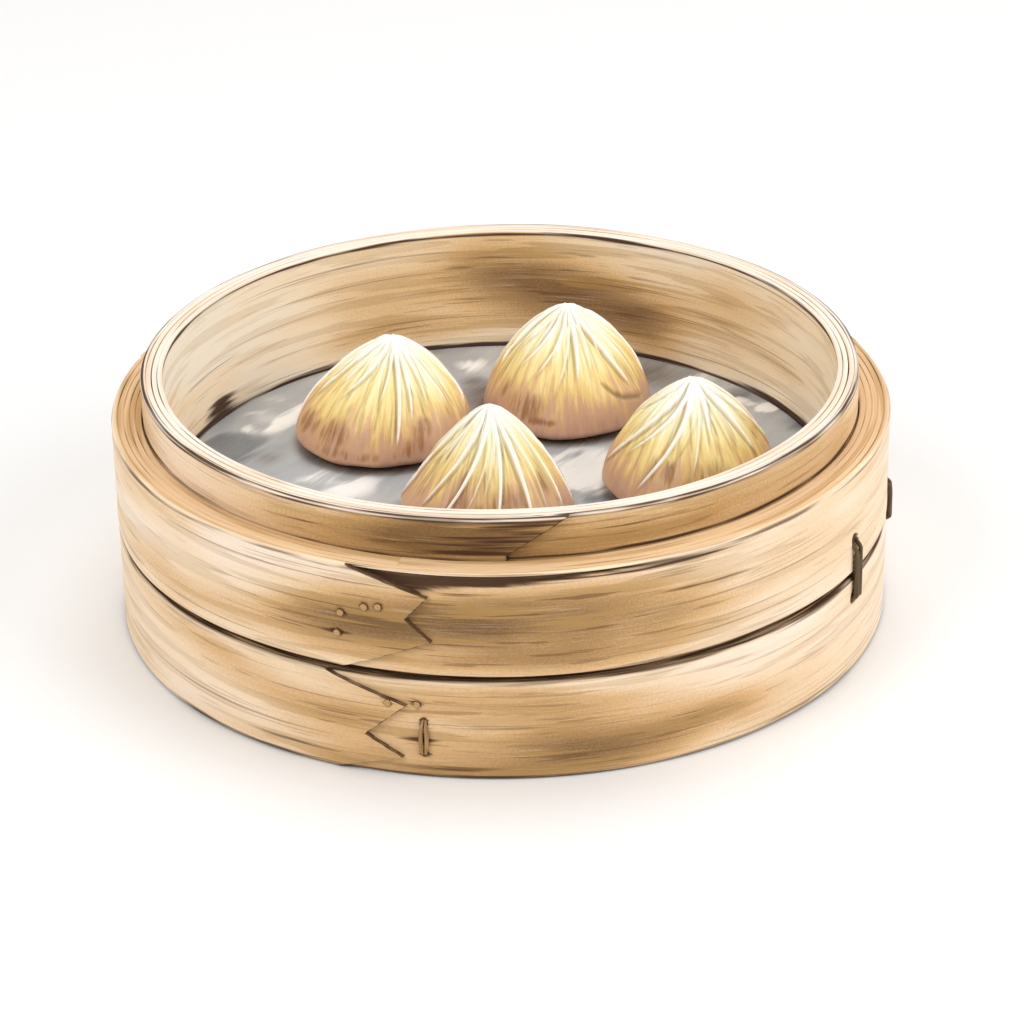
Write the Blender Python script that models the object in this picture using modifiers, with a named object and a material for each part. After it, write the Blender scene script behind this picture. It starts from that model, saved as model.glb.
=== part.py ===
"""A round bamboo steamer basket with four pleated soup dumplings on its liner plate.

Metres, +Z up. The basket stands on the XY plane, the origin is under the middle of its box,
and its front, where the ends of the wound bamboo strips show, looks along -Y.
An azimuth counts in degrees from the front, towards +X.
"""

import math

import bmesh
import bpy
from mathutils import Matrix, Vector

GAP = 0.0003  # between pieces that touch
COLUMNS = 64  # facets round each ring

# The basket
BASKET_RADIUS = 0.100
RIM_RADIUS = 0.092
RIM_HEIGHT = 0.066
LEDGE_HEIGHT = 0.0555
SCARF_FOOT = 0.0565  # the slanting cut of the hoop's outer ply ends here, just above the ledge
HOOP_THICKNESS = 0.0056
HOOP_FOOT = 0.0125  # the hoop ends here, and the lower band goes on as a skirt
GROOVE_HEIGHT = 0.027
GROOVE_WIDTH = 0.0018
EDGE_ROUND = 0.0007
OUTER_SIDE = 1.5 * EDGE_ROUND  # points this near the full radius belong to a ring's outer side

# The strips that are wound into bands: where the outer end lies and how it steps down
STRIP_STEP = 0.0009
STRIP_TAPER = math.radians(70)  # the step has run out this far round from the strip's end
SEAM_REACH = math.radians(45)  # facets are pulled sideways this far from a strip's end
SEAM_SLIT = 0.0012  # radians across the step itself

# The floor under the dumplings
PLATE_TOP = 0.0315
PLATE_THICKNESS = 0.0008
PLATE_PLAY = 0.0006  # between the plate's edge and the hoop
SLAT_THICKNESS = 0.002
SLAT_WIDTH = 0.0135
SLAT_PITCH = 0.0153
SLAT_COUNT = 11
BATTEN_WIDTH = 0.009
BATTEN_HEIGHT = 0.0065
BATTEN_OFFSETS = (-0.045, 0.0, 0.045)
BATTEN_LET_IN = 0.002  # how far a batten's end goes into the hoop's inner ply
POCKET_START = 0.004  # a pocket's cutter starts this far inside the hoop

# Cane stitches over the groove, and one on the lower band
STRAND_RADIUS = 0.00075
STITCH_BEND = 0.0013
STITCH_DEPTH = 0.003
HOLE_RADIUS = 0.0019

# Bamboo pegs through the strip ends
PEG_RADIUS = 0.0009
PEG_PROUD = 0.0003
PEG_DEPTH = 0.0025

# The dumplings: a bag that narrows to a pleated point
DOME_FULLNESS = 0.9
FOOT_SHARE = 0.12  # share of the height where the bag turns under
FOOT_TUCK = 0.2
DUMPLING_ROWS = 10
ROW_CROWDING = 1.35  # above 1, rows lie closer together near the point
UNEVEN_OVAL = 0.015
UNEVEN_LUMP = 0.012
SLOPE_STEP = 0.02  # share of the height over which the bag's slope is taken
PLEAT_DEPTH = 0.0011
PLEAT_START = 0.2
PLEAT_FULL = 0.55
PLEAT_COLUMNS = 4
PLEAT_FORM = (-1.0, 0.55, 1.0, 0.15)  # a sharp valley, a steep side, a ridge, a slack side
PLEAT_SHARE_OF_RADIUS = 0.15  # a pleat is never deeper than this share of the bag's radius
DOUGH_SMOOTH = 60  # degrees between facets, up to which dough is shaded smooth

BAMBOO_PALE = (0.80, 0.60, 0.36)
BAMBOO_WARM = (0.72, 0.50, 0.27)
CANE_DARK = (0.16, 0.11, 0.05)
CANE_PALE = (0.55, 0.40, 0.20)
PLATE_GREY = (0.62, 0.63, 0.64)
DOUGH = (0.90, 0.80, 0.58)


def clear_scene():
    for obj in list(bpy.data.objects):
        bpy.data.objects.remove(obj, do_unlink=True)


def new_collection(name, hidden=False):
    collection = bpy.data.collections.new(name)
    collection.hide_render = hidden
    bpy.context.scene.collection.children.link(collection)
    return collection


def finish(name, colour, roughness, metallic=0.0):
    """A plain material, shared by the pieces that name it."""
    material = bpy.data.materials.get(name) or bpy.data.materials.new(name)
    material.use_nodes = True
    shader = material.node_tree.nodes["Principled BSDF"]
    shader.inputs["Base Color"].default_value = (*colour, 1.0)
    shader.inputs["Roughness"].default_value = roughness
    shader.inputs["Metallic"].default_value = metallic
    return material


def facing(azimuth):
    """The turn about Z that brings +X to this azimuth."""
    return math.radians(azimuth - 90)


def put(obj, collection, parent, material=None):
    """Moves an object into its collection and under the basket's empty."""
    for old in list(obj.users_collection):
        old.objects.unlink(obj)
    collection.objects.link(obj)
    obj.parent = parent
    if material:
        obj.data.materials.clear()
        obj.data.materials.append(material)
    return obj


def frozen(obj):
    """The object with its modifiers made part of its mesh."""
    graph = bpy.context.evaluated_depsgraph_get()
    graph.update()
    mesh = bpy.data.meshes.new_from_object(obj.evaluated_get(graph))
    mesh.name = obj.name
    obj.modifiers.clear()
    obj.data = mesh
    return obj


def turned(name, profile, steps, ring=True):
    """A profile of (radius, height) points turned about Z, running down its outer side."""
    count = len(profile)
    mesh = bpy.data.meshes.new(name)
    edges = [(i, (i + 1) % count) for i in range(count if ring else count - 1)]
    mesh.from_pydata([(radius, 0, height) for radius, height in profile], edges, [])
    obj = bpy.data.objects.new(name, mesh)
    bpy.context.scene.collection.objects.link(obj)
    screw = obj.modifiers.new("turn", "SCREW")
    screw.steps = screw.render_steps = steps
    screw.use_merge_vertices = True
    screw.merge_threshold = 0.00001
    return obj


def shade(obj, angle=35):
    obj.data.shade_smooth()
    obj.data.set_sharp_from_angle(angle=math.radians(angle))
    return obj


def between(points, height):
    """The straight line through (value, height) points, read at a height."""
    ordered = sorted(points, key=lambda point: point[1])
    for (low_value, low), (high_value, high) in zip(ordered, ordered[1:]):
        if height <= high:
            share = max(0.0, (height - low) / (high - low))
            return low_value + share * (high_value - low_value)
    return ordered[-1][0]


def strip_drop(past):
    """How far a wound band's surface lies under its full radius, this angle past the strip's end."""
    if past < 0:
        return 0.0
    return STRIP_STEP * max(0.0, 1 - past / STRIP_TAPER)


def wind(obj, seam, outline, full_radius):
    """Turns a plain ring into a wound strip, with its outer end at an azimuth.

    On the outer side, the two columns of points beside the seam are drawn together along the
    outline, which is (azimuth, height) points, and the side past it is lowered by one step.
    """
    half = math.pi / COLUMNS
    for vertex in obj.data.vertices:
        radius = math.hypot(vertex.co.x, vertex.co.y)
        place = math.atan2(vertex.co.y, vertex.co.x)
        place = (place + half + math.pi) % math.tau - math.pi
        if radius > full_radius - OUTER_SIDE:
            side = math.copysign(1, place)
            away = abs(place)
            if away < SEAM_REACH:
                away = max(0.0, away - half) * SEAM_REACH / (SEAM_REACH - half) + SEAM_SLIT / 2
            slant = math.radians(between(outline, vertex.co.z) - seam)
            place = side * away + slant * max(0.0, 1 - away / SEAM_REACH) ** 2
            radius -= strip_drop(side * away)
        vertex.co.x = radius * math.cos(place)
        vertex.co.y = radius * math.sin(place)
    shell = bmesh.new()
    shell.from_mesh(obj.data)
    bmesh.ops.triangulate(shell, faces=shell.faces[:], quad_method="SHORT_EDGE")
    shell.to_mesh(obj.data)
    shell.free()
    obj.rotation_euler.z = facing(seam)
    return obj


def drilled(obj, cutters):
    """Cuts a collection of closed shapes out of the object."""
    if len(cutters.objects):
        cut = obj.modifiers.new("holes", "BOOLEAN")
        cut.operand_type = "COLLECTION"
        cut.collection = cutters
        cut.solver = "EXACT"
    return obj


def rod(name, radius, length, azimuth, reach, height, sides=8):
    """A short cylinder along the radius at an azimuth, with its outer end at a reach."""
    bpy.ops.mesh.primitive_cylinder_add(vertices=sides, radius=radius, depth=length)
    obj = bpy.context.object
    obj.name = obj.data.name = name
    turn = Matrix.Rotation(facing(azimuth), 4, "Z") @ Matrix.Rotation(math.pi / 2, 4, "Y")
    place = Matrix.Rotation(facing(azimuth), 4, "Z") @ Vector((reach - length / 2, 0, height))
    obj.matrix_world = Matrix.Translation(place) @ turn
    return obj


def as_cutter(obj, collection, parent):
    put(obj, collection, parent)
    obj.hide_render = True
    obj.display_type = "WIRE"
    return obj


# Where each strip's outer end runs, as (azimuth, height): a fishtail with two points
UPPER_SEAM = -15.0
UPPER_OUTLINE = (
    (-22.0, LEDGE_HEIGHT),
    (-10.4, 0.0490),
    (-13.6, 0.0430),
    (-10.0, 0.0372),
    (-23.0, GROOVE_HEIGHT + GROOVE_WIDTH / 2),
)
LOWER_SEAM = -18.0
LOWER_OUTLINE = (
    (-25.5, GROOVE_HEIGHT - GROOVE_WIDTH / 2),
    (-13.8, 0.0195),
    (-19.8, 0.0105),
    (-14.4, 0.0052),
    (-24.5, 0.0),
)
# The end of the hoop's outer ply is one slanting cut, and runs straight down behind the bands
HOOP_SEAM = 4.0
HOOP_OUTLINE = ((9.8, RIM_HEIGHT), (0.5, SCARF_FOOT), (0.5, HOOP_FOOT))

# Stitches as name, azimuth, lowest and highest point, share of full strand size
GROOVE_STITCHES = (
    ("stitch_right", 61.0, 0.0198, 0.0373, 1.0),
    ("stitch_side", 86.0, 0.0215, 0.0335, 1.0),
    ("stitch_back", 176.0, 0.0198, 0.0373, 1.0),
    ("stitch_back_left", 201.0, 0.0215, 0.0335, 1.0),
)
FRONT_STITCH = ("stitch_front", -11.5, 0.0058, 0.0155, 0.7)

# Pegs as azimuth and height
UPPER_PEGS = ((-22.8, 0.0425), (-23.4, 0.0369), (-19.3, 0.0450), (-17.3, 0.0455))
LOWER_PEGS = ((-16.4, 0.0199), (-12.4, 0.0197))

# Dumplings as name, place of the foot, radius, height, how domed (a cone is 1), number of
# pleats, lean of the point, and the angle of the first pleat
DUMPLINGS = (
    ("dumpling_left", (-0.0318, 0.0262), 0.0236, 0.0296, 2.0, 20, (0.0036, 0.0002), 0.3),
    ("dumpling_back", (0.0180, 0.0418), 0.0235, 0.0312, 2.0, 19, (0.0002, -0.0003), 1.1),
    ("dumpling_front", (-0.0042, -0.0200), 0.0231, 0.0305, 1.5, 18, (0.0012, 0.0003), 2.0),
    ("dumpling_right", (0.0486, -0.0070), 0.0229, 0.0310, 1.9, 21, (0.0006, 0.0001), 0.7),
)


def band(name, low, high, seam, outline, cutters, parent, collection, material):
    """One outer band: a ring with rounded edges, wound from a strip and drilled."""
    inner = RIM_RADIUS + GAP
    bends = [height for _, height in outline[1:-1]]
    profile = [(inner, high), (BASKET_RADIUS - EDGE_ROUND, high)]
    profile.append((BASKET_RADIUS, high - EDGE_ROUND))
    profile += [(BASKET_RADIUS, height) for height in bends]
    profile.append((BASKET_RADIUS, low + EDGE_ROUND))
    profile += [(BASKET_RADIUS - EDGE_ROUND, low), (inner, low)]
    ring = wind(frozen(turned(name, profile, COLUMNS)), seam, outline, BASKET_RADIUS)
    put(shade(ring), collection, parent, material)
    return drilled(ring, cutters)


def hoop(cutters, parent, collection, material):
    """The tall inner hoop: two plies, whose cut edges show side by side along the rim."""
    ply = (HOOP_THICKNESS - GAP) / 2
    middle = RIM_RADIUS - ply
    outer = [
        (middle, RIM_HEIGHT),
        (RIM_RADIUS - EDGE_ROUND, RIM_HEIGHT),
        (RIM_RADIUS, RIM_HEIGHT - EDGE_ROUND),
        (RIM_RADIUS, SCARF_FOOT),
        (RIM_RADIUS, HOOP_FOOT),
        (middle, HOOP_FOOT),
    ]
    ring = frozen(turned("hoop_outer_ply", outer, COLUMNS))
    wind(ring, HOOP_SEAM, HOOP_OUTLINE, RIM_RADIUS)
    put(shade(ring), collection, parent, material)
    edge = middle - GAP
    inside = edge - ply
    inner = [
        (edge, RIM_HEIGHT),
        (edge, HOOP_FOOT),
        (inside, HOOP_FOOT),
        (inside, RIM_HEIGHT - EDGE_ROUND),
        (inside + EDGE_ROUND, RIM_HEIGHT),
    ]
    ring = put(shade(frozen(turned("hoop_inner_ply", inner, COLUMNS))), collection, parent, material)
    drilled(ring, cutters)
    return inside


def block(name, size, centre):
    """A box with its scale applied."""
    bpy.ops.mesh.primitive_cube_add(size=1, location=centre)
    obj = bpy.context.object
    obj.name = obj.data.name = name
    obj.data.transform(Matrix.Diagonal((*size, 1)))
    return obj


def rounded(obj, width):
    bevel = obj.modifiers.new("edges", "BEVEL")
    bevel.width = width
    bevel.segments = 1
    return obj


def half_chord(radius, offset):
    return math.sqrt(radius**2 - offset**2)


def lattice(inside, cutters, parent, collection, material):
    """The basket's own floor: slats lying across battens that are let into the hoop."""
    slat_middle = PLATE_TOP - PLATE_THICKNESS - GAP - SLAT_THICKNESS / 2
    batten_middle = slat_middle - SLAT_THICKNESS / 2 - GAP - BATTEN_HEIGHT / 2
    for index, offset in enumerate(BATTEN_OFFSETS, 1):
        reach = half_chord(inside + BATTEN_LET_IN, abs(offset) + BATTEN_WIDTH / 2)
        size = (2 * reach, BATTEN_WIDTH, BATTEN_HEIGHT)
        batten = block(f"batten_{index}", size, (0, offset, batten_middle))
        put(rounded(batten, EDGE_ROUND), collection, parent, material)
        for side in (-1, 1):
            start = half_chord(inside, abs(offset)) - POCKET_START
            length = reach + GAP - start
            centre = (side * (start + length / 2), offset, batten_middle)
            size = (length, BATTEN_WIDTH + 2 * GAP, BATTEN_HEIGHT + 2 * GAP)
            as_cutter(block(f"pocket_{index}_{side}", size, centre), cutters, parent)
    for index in range(SLAT_COUNT):
        offset = (index - (SLAT_COUNT - 1) / 2) * SLAT_PITCH
        reach = half_chord(inside - PLATE_PLAY, abs(offset) + SLAT_WIDTH / 2)
        size = (SLAT_WIDTH, 2 * reach, SLAT_THICKNESS)
        slat = block(f"slat_{index + 1}", size, (offset, 0, slat_middle))
        put(rounded(slat, EDGE_ROUND / 2), collection, parent, material)


def plate(inside, parent, collection, material):
    """The thin metal plate that the dumplings lie on."""
    radius = inside - PLATE_PLAY
    low = PLATE_TOP - PLATE_THICKNESS
    lip = PLATE_THICKNESS / 3
    edge = [(radius - lip, PLATE_TOP), (radius, PLATE_TOP - lip), (radius, low)]
    profile = [(0, PLATE_TOP), *edge, (0, low)]
    disc = turned("liner_plate", profile, COLUMNS, ring=False)
    return put(shade(frozen(disc)), collection, parent, material)


def strand(name, azimuth, sideways, low, high, surface, size, parent, collection, material):
    """One cane strand: out of its hole, down over the surface and back into the next hole."""
    radius = STRAND_RADIUS * size
    reach = surface + GAP + radius
    bend = STITCH_BEND * size
    slant = math.sin(math.pi / 4)
    half = [
        (surface - STITCH_DEPTH, 0.0),
        (reach - bend, 0.0),
        (reach - bend * (1 - slant), bend * (1 - slant)),
        (reach, bend),
    ]
    top = [(x, high - radius - down) for x, down in half]
    bottom = [(x, low + radius + up) for x, up in reversed(half)]
    curve = bpy.data.curves.new(name, "CURVE")
    curve.dimensions = "3D"
    curve.bevel_depth = radius
    curve.bevel_resolution = 2
    curve.use_fill_caps = True
    spline = curve.splines.new("POLY")
    path = top + bottom
    spline.points.add(len(path) - 1)
    for point, (x, z) in zip(spline.points, path):
        point.co = (x, sideways, z, 1)
    obj = bpy.data.objects.new(name, curve)
    obj.rotation_euler.z = facing(azimuth)
    return put(obj, collection, parent, material)


def stitch(entry, seam, cutters, parent, collection, material):
    """Two strands side by side, and the holes that their ends go into."""
    name, azimuth, low, high, size = entry
    surface = BASKET_RADIUS - strip_drop(math.radians(azimuth - seam))
    apart = (STRAND_RADIUS + GAP / 2) * size
    for letter, sideways in (("a", -apart), ("b", apart)):
        strand(
            f"{name}_{letter}", azimuth, sideways, low, high, surface, size, parent, collection,
            material,
        )
    hole = HOLE_RADIUS * size
    for end, height in (("low", low), ("high", high)):
        inward = STRAND_RADIUS * size * (1 if end == "low" else -1)
        cutter = rod(
            f"hole_{name}_{end}", hole, 2 * STITCH_DEPTH, azimuth, surface + STITCH_DEPTH / 2,
            height + inward,
        )
        as_cutter(cutter, cutters[0] if end == "low" else cutters[1], parent)


def pegs(prefix, places, seam, left_of, cutters, parent, collection, material):
    """Round bamboo pegs that stand a little proud of their holes."""
    for index, (azimuth, height) in enumerate(places, 1):
        past = azimuth - left_of(height)
        surface = BASKET_RADIUS - strip_drop(math.radians(azimuth - seam) if past > 0 else -1)
        peg = rod(f"{prefix}_{index}", PEG_RADIUS, PEG_DEPTH, azimuth, surface + PEG_PROUD, height)
        put(peg, collection, parent, material)
        depth = PEG_DEPTH + GAP
        reach = surface + PEG_PROUD + PEG_DEPTH
        hole = rod(f"hole_{peg.name}", PEG_RADIUS + GAP, depth + PEG_DEPTH, azimuth, reach, height)
        as_cutter(hole, cutters, parent)


def bag_radius(share, radius, domed):
    """The bag's radius at a share of its height: a dome that runs to a point and turns under."""
    dome = (1 - share**domed) ** DOME_FULLNESS
    tuck = FOOT_TUCK * max(0.0, 1 - share / FOOT_SHARE) ** 2
    return radius * dome * (1 - tuck)


def pleat_depth(share, radius_here):
    """Nothing low on the bag, full in its upper half, and less where the pleats meet."""
    rise = min(1.0, max(0.0, (share - PLEAT_START) / (PLEAT_FULL - PLEAT_START)))
    return min(PLEAT_DEPTH * rise * rise * (3 - 2 * rise), PLEAT_SHARE_OF_RADIUS * radius_here)


def dumpling(entry, parent, collection, material):
    """A bag of dough drawn up into pleats that meet in a point."""
    name, foot, radius, height, domed, pleats, lean, first = entry
    shares = [1 - (row / DUMPLING_ROWS) ** ROW_CROWDING for row in range(DUMPLING_ROWS)]
    shares += [FOOT_SHARE / 3, 0.0]
    profile = [(bag_radius(share, radius, domed), share * height) for share in shares]
    profile[0] = (0.0, height)
    bag = frozen(turned(name, profile + [(0.0, 0.0)], pleats * PLEAT_COLUMNS, ring=False))
    step = math.tau / (pleats * PLEAT_COLUMNS)
    for vertex in bag.data.vertices:
        here = math.hypot(vertex.co.x, vertex.co.y)
        share = min(1.0, max(0.0, vertex.co.z / height))
        angle = math.atan2(vertex.co.y, vertex.co.x)
        column = round(angle / step) % PLEAT_COLUMNS
        lift = pleat_depth(share, here) * PLEAT_FORM[column] if here > GAP else 0.0
        lower = bag_radius(max(share - SLOPE_STEP, 0), radius, domed)
        steep = (lower - bag_radius(share, radius, domed)) / (SLOPE_STEP * height)
        outward = 1 / math.hypot(1, steep)
        uneven = UNEVEN_OVAL * math.sin(2 * angle + first)
        uneven += UNEVEN_LUMP * math.sin(3 * angle + 2 * first)
        here = here * (1 + uneven) + lift * outward
        vertex.co.x = here * math.cos(angle + first) + lean[0] * share
        vertex.co.y = here * math.sin(angle + first) + lean[1] * share
        vertex.co.z += lift * steep * outward if share > 0 else 0.0
    bag.location = (*foot, PLATE_TOP + GAP)
    return put(shade(bag, DOUGH_SMOOTH), collection, parent, material)


def centre_on_origin(parent, collection):
    """Moves the empty so that the middle of the whole box is over the origin."""
    bpy.context.view_layer.update()
    graph = bpy.context.evaluated_depsgraph_get()
    corners = []
    for obj in collection.objects:
        if obj.type != "EMPTY":
            ready = obj.evaluated_get(graph)
            mesh = ready.to_mesh()
            corners += [ready.matrix_world @ vertex.co for vertex in mesh.vertices]
            ready.to_mesh_clear()
    for axis in (0, 1):
        values = [corner[axis] for corner in corners]
        parent.location[axis] = -(min(values) + max(values)) / 2
    bpy.context.view_layer.update()


def main():
    clear_scene()
    pieces = new_collection("dumpling_basket")
    cut_upper = new_collection("cutters_upper_band", hidden=True)
    cut_lower = new_collection("cutters_lower_band", hidden=True)
    cut_hoop = new_collection("cutters_hoop", hidden=True)
    basket = bpy.data.objects.new("basket", None)
    pieces.objects.link(basket)

    pale = finish("bamboo_pale", BAMBOO_PALE, 0.55)
    warm = finish("bamboo_warm", BAMBOO_WARM, 0.6)
    dark_cane = finish("cane_dark", CANE_DARK, 0.6)
    pale_cane = finish("cane_pale", CANE_PALE, 0.55)
    metal = finish("plate_metal", PLATE_GREY, 0.25, 1.0)
    dough = finish("dough", DOUGH, 0.4)

    for entry in GROOVE_STITCHES:
        stitch(entry, LOWER_SEAM, (cut_lower, cut_upper), basket, pieces, dark_cane)
    stitch(FRONT_STITCH, LOWER_SEAM, (cut_lower, cut_lower), basket, pieces, pale_cane)
    pegs("peg_upper", UPPER_PEGS, UPPER_SEAM, lambda h: between(UPPER_OUTLINE, h),
         cut_upper, basket, pieces, pale_cane)
    pegs("peg_lower", LOWER_PEGS, LOWER_SEAM, lambda h: between(LOWER_OUTLINE, h),
         cut_lower, basket, pieces, pale_cane)

    groove_low = GROOVE_HEIGHT - GROOVE_WIDTH / 2
    groove_high = GROOVE_HEIGHT + GROOVE_WIDTH / 2
    band("upper_band", groove_high, LEDGE_HEIGHT, UPPER_SEAM, UPPER_OUTLINE,
         cut_upper, basket, pieces, pale)
    band("lower_band", 0.0, groove_low, LOWER_SEAM, LOWER_OUTLINE,
         cut_lower, basket, pieces, pale)
    inside = RIM_RADIUS - HOOP_THICKNESS
    lattice(inside, cut_hoop, basket, pieces, warm)
    hoop(cut_hoop, basket, pieces, pale)
    plate(inside, basket, pieces, metal)
    for entry in DUMPLINGS:
        dumpling(entry, basket, pieces, dough)
    centre_on_origin(basket, pieces)


main()
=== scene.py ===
import math

import bpy
import numpy as np
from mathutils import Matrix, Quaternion, Vector


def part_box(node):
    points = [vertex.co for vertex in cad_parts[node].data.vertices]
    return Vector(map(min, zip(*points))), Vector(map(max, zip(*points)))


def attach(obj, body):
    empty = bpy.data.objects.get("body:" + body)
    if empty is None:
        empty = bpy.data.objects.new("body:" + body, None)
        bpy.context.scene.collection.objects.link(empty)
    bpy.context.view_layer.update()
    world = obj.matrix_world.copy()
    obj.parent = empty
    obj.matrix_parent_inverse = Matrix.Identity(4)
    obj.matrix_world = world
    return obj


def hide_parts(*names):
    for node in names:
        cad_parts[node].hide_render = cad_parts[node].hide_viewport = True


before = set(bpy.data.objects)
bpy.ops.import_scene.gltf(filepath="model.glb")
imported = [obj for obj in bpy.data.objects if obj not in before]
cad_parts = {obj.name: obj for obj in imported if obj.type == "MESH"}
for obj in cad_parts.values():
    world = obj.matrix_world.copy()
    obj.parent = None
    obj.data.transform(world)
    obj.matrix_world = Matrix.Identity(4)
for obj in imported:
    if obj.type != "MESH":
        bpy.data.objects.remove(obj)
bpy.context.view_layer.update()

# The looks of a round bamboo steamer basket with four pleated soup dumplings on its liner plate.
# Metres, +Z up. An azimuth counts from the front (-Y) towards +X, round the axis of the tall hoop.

BODY = "root"
MM = 0.001
TURN = 2 * math.pi

# Read from the frame
HOOP_LOW, HOOP_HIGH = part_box("hoop_inner_ply")
AXIS_X = (HOOP_LOW.x + HOOP_HIGH.x) / 2
AXIS_Y = (HOOP_LOW.y + HOOP_HIGH.y) / 2
RIM_HEIGHT = HOOP_HIGH.z
HOOP_FOOT = HOOP_LOW.z
UPPER_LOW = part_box("upper_band")[0].z
LEDGE_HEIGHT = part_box("upper_band")[1].z
LOWER_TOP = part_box("lower_band")[1].z
PLATE_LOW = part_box("liner_plate")[0].z
PLATE_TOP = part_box("liner_plate")[1].z

# The basket's own sizes
GAP = 0.3 * MM
BASKET_RADIUS = 100 * MM
RIM_RADIUS = 92 * MM
PLY = 2.65 * MM
INSIDE_RADIUS = RIM_RADIUS - 2 * PLY - GAP
PLATE_RADIUS = INSIDE_RADIUS - 0.6 * MM
EDGE_ROUND = 0.7 * MM
THIN_ROUND = 0.25 * MM
LAYER = 1.54 * MM  # thickness of one wound layer of a band
BAND_LAYERS = 5

# How many points run round each kind of piece
BAND_COLUMNS = 720
HOOP_COLUMNS = 600
PLATE_COLUMNS = 220
BAG_COLUMNS = 384
LATH_COLUMNS = 24
STRAND_COLUMNS = 20
PEG_COLUMNS = 24

# How a wound strip ends: a step, drawn sideways along its outline
STRIP_STEP = 0.9 * MM
STRIP_TAPER = math.radians(70)
SEAM_REACH = math.radians(45)
SEAM_SLIT = 0.0012  # radians
SEAM_DIRT = 0.002  # radians; the dark line along a strip's end: its joint, with painted shade beside the step
END_LIFT = 0.25 * MM
END_LIFT_REACH = math.radians(1.6)

# How a cut edge is made
CUT_STEPS = 7
CORNER_STEPS = 5
JOINT_HALF = 0.19 * MM
LEVEL_GAP = 0.05 * MM  # the least distance from a level to a rounded corner
JOINT_DEPTH = 0.25 * MM
# Half width of the paler upper outer corner: wear with a painted highlight
WORN_HALF = 0.6 * MM
SKIN_DEPTH = 0.45 * MM  # the dark outer skin, seen on the rim as a line
SKIN_HALF = 0.34 * MM
OUTER_PART = 0.5  # above this share of the outer side, dirt and painted shade are drawn

# Holes for strands and pegs, as size and depth
STRAND_HOLE = (1.7 * MM, 0.9 * MM)
PEG_HOLE = (1.2 * MM, 0.3 * MM)

# Growth rings: a ridge, and a groove this far beside it
RING_RIDGE = 0.35 * MM
RING_GROOVE = 0.3 * MM
RING_BESIDE = 2.6 * MM

UPPER_SEAM = -15.0
UPPER_OUTLINE = (
    (-22.0, LEDGE_HEIGHT),
    (-10.4, 49.0 * MM),
    (-13.6, 43.0 * MM),
    (-10.0, 37.2 * MM),
    (-23.0, UPPER_LOW),
)
LOWER_SEAM = -18.0
LOWER_OUTLINE = (
    (-25.5, LOWER_TOP),
    (-13.8, 19.5 * MM),
    (-19.8, 10.5 * MM),
    (-14.4, 5.2 * MM),
    (-24.5, 0.0),
)
HOOP_SEAM = 4.0
HOOP_OUTLINE = ((9.8, RIM_HEIGHT), (0.5, LEDGE_HEIGHT + MM), (0.5, HOOP_FOOT))
INNER_SEAM = 20.0
INNER_OUTLINE = ((INNER_SEAM, RIM_HEIGHT), (INNER_SEAM, HOOP_FOOT))

# The dark gap under the ledge, right of the upper strip's end
RECESS_TALL = 5.2 * MM
RECESS_REACH = math.radians(46)
RECESS_DEPTH = 1.3 * MM
RECESS_LIP = 0.7 * MM

# Stitches as name, azimuth, lowest and highest point, share of full strand size, colour
STITCHES = (
    ("stitch_right", 61.0, 19.8 * MM, 37.3 * MM, 1.0, "cane_dark"),
    ("stitch_side", 86.0, 21.5 * MM, 33.5 * MM, 1.0, "cane_dark"),
    ("stitch_back", 176.0, 19.8 * MM, 37.3 * MM, 1.0, "cane_dark"),
    ("stitch_back_left", 201.0, 21.5 * MM, 33.5 * MM, 1.0, "cane_dark"),
    ("stitch_front", -11.5, 5.8 * MM, 15.5 * MM, 0.7, "cane_pale"),
)
STRAND_RADIUS = 0.75 * MM
UPPER_PEGS = ((-22.8, 42.5 * MM), (-23.4, 36.9 * MM), (-19.3, 45.0 * MM), (-17.3, 45.5 * MM))
LOWER_PEGS = ((-16.4, 19.9 * MM), (-12.4, 19.7 * MM))
PEG_RADIUS = 0.9 * MM
PEG_PROUD = 0.3 * MM
PEG_DEPTH = 2.5 * MM
PEG_TIP = 0.11 * MM
PEG_SHARES = (0.15, 0.35, 0.55, 0.72, 0.86, 0.95, 1.0)

# Slats and battens
SLATS = 11
BATTENS = 3
LATH_ROUND = 0.6 * MM
LATH_SQUARE = 0.22
LATH_BEND = 0.2 * MM

# Where a strip's own growth rings cross it, as azimuths
UPPER_RINGS = (112.0, 252.0)
LOWER_RINGS = (134.0, 238.0)
NO_MARKS = ()

# Dumplings as name, place of the foot from the hoop's axis, radius, height, how domed, lean of the
# point, and how much the bag is drawn in on its left
DUMPLINGS = (
    ("dumpling_left", (-31.8, 26.2), 23.6, 29.6, 2.0, (3.6, 0.2), 0.0),
    ("dumpling_back", (18.0, 41.8), 23.5, 31.2, 2.0, (0.2, -0.3), 0.03),
    ("dumpling_front", (-4.2, -20.0), 23.1, 30.5, 1.5, (1.2, 0.3), 0.07),
    ("dumpling_right", (48.6, -7.0), 22.9, 31.0, 1.9, (0.6, 0.1), 0.0),
)
DOME_FULLNESS = 0.9
FOOT_SHARE = 0.12
FOOT_TUCK = 0.2
SLOPE_STEP = 0.01
BAG_ROWS = 104

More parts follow.
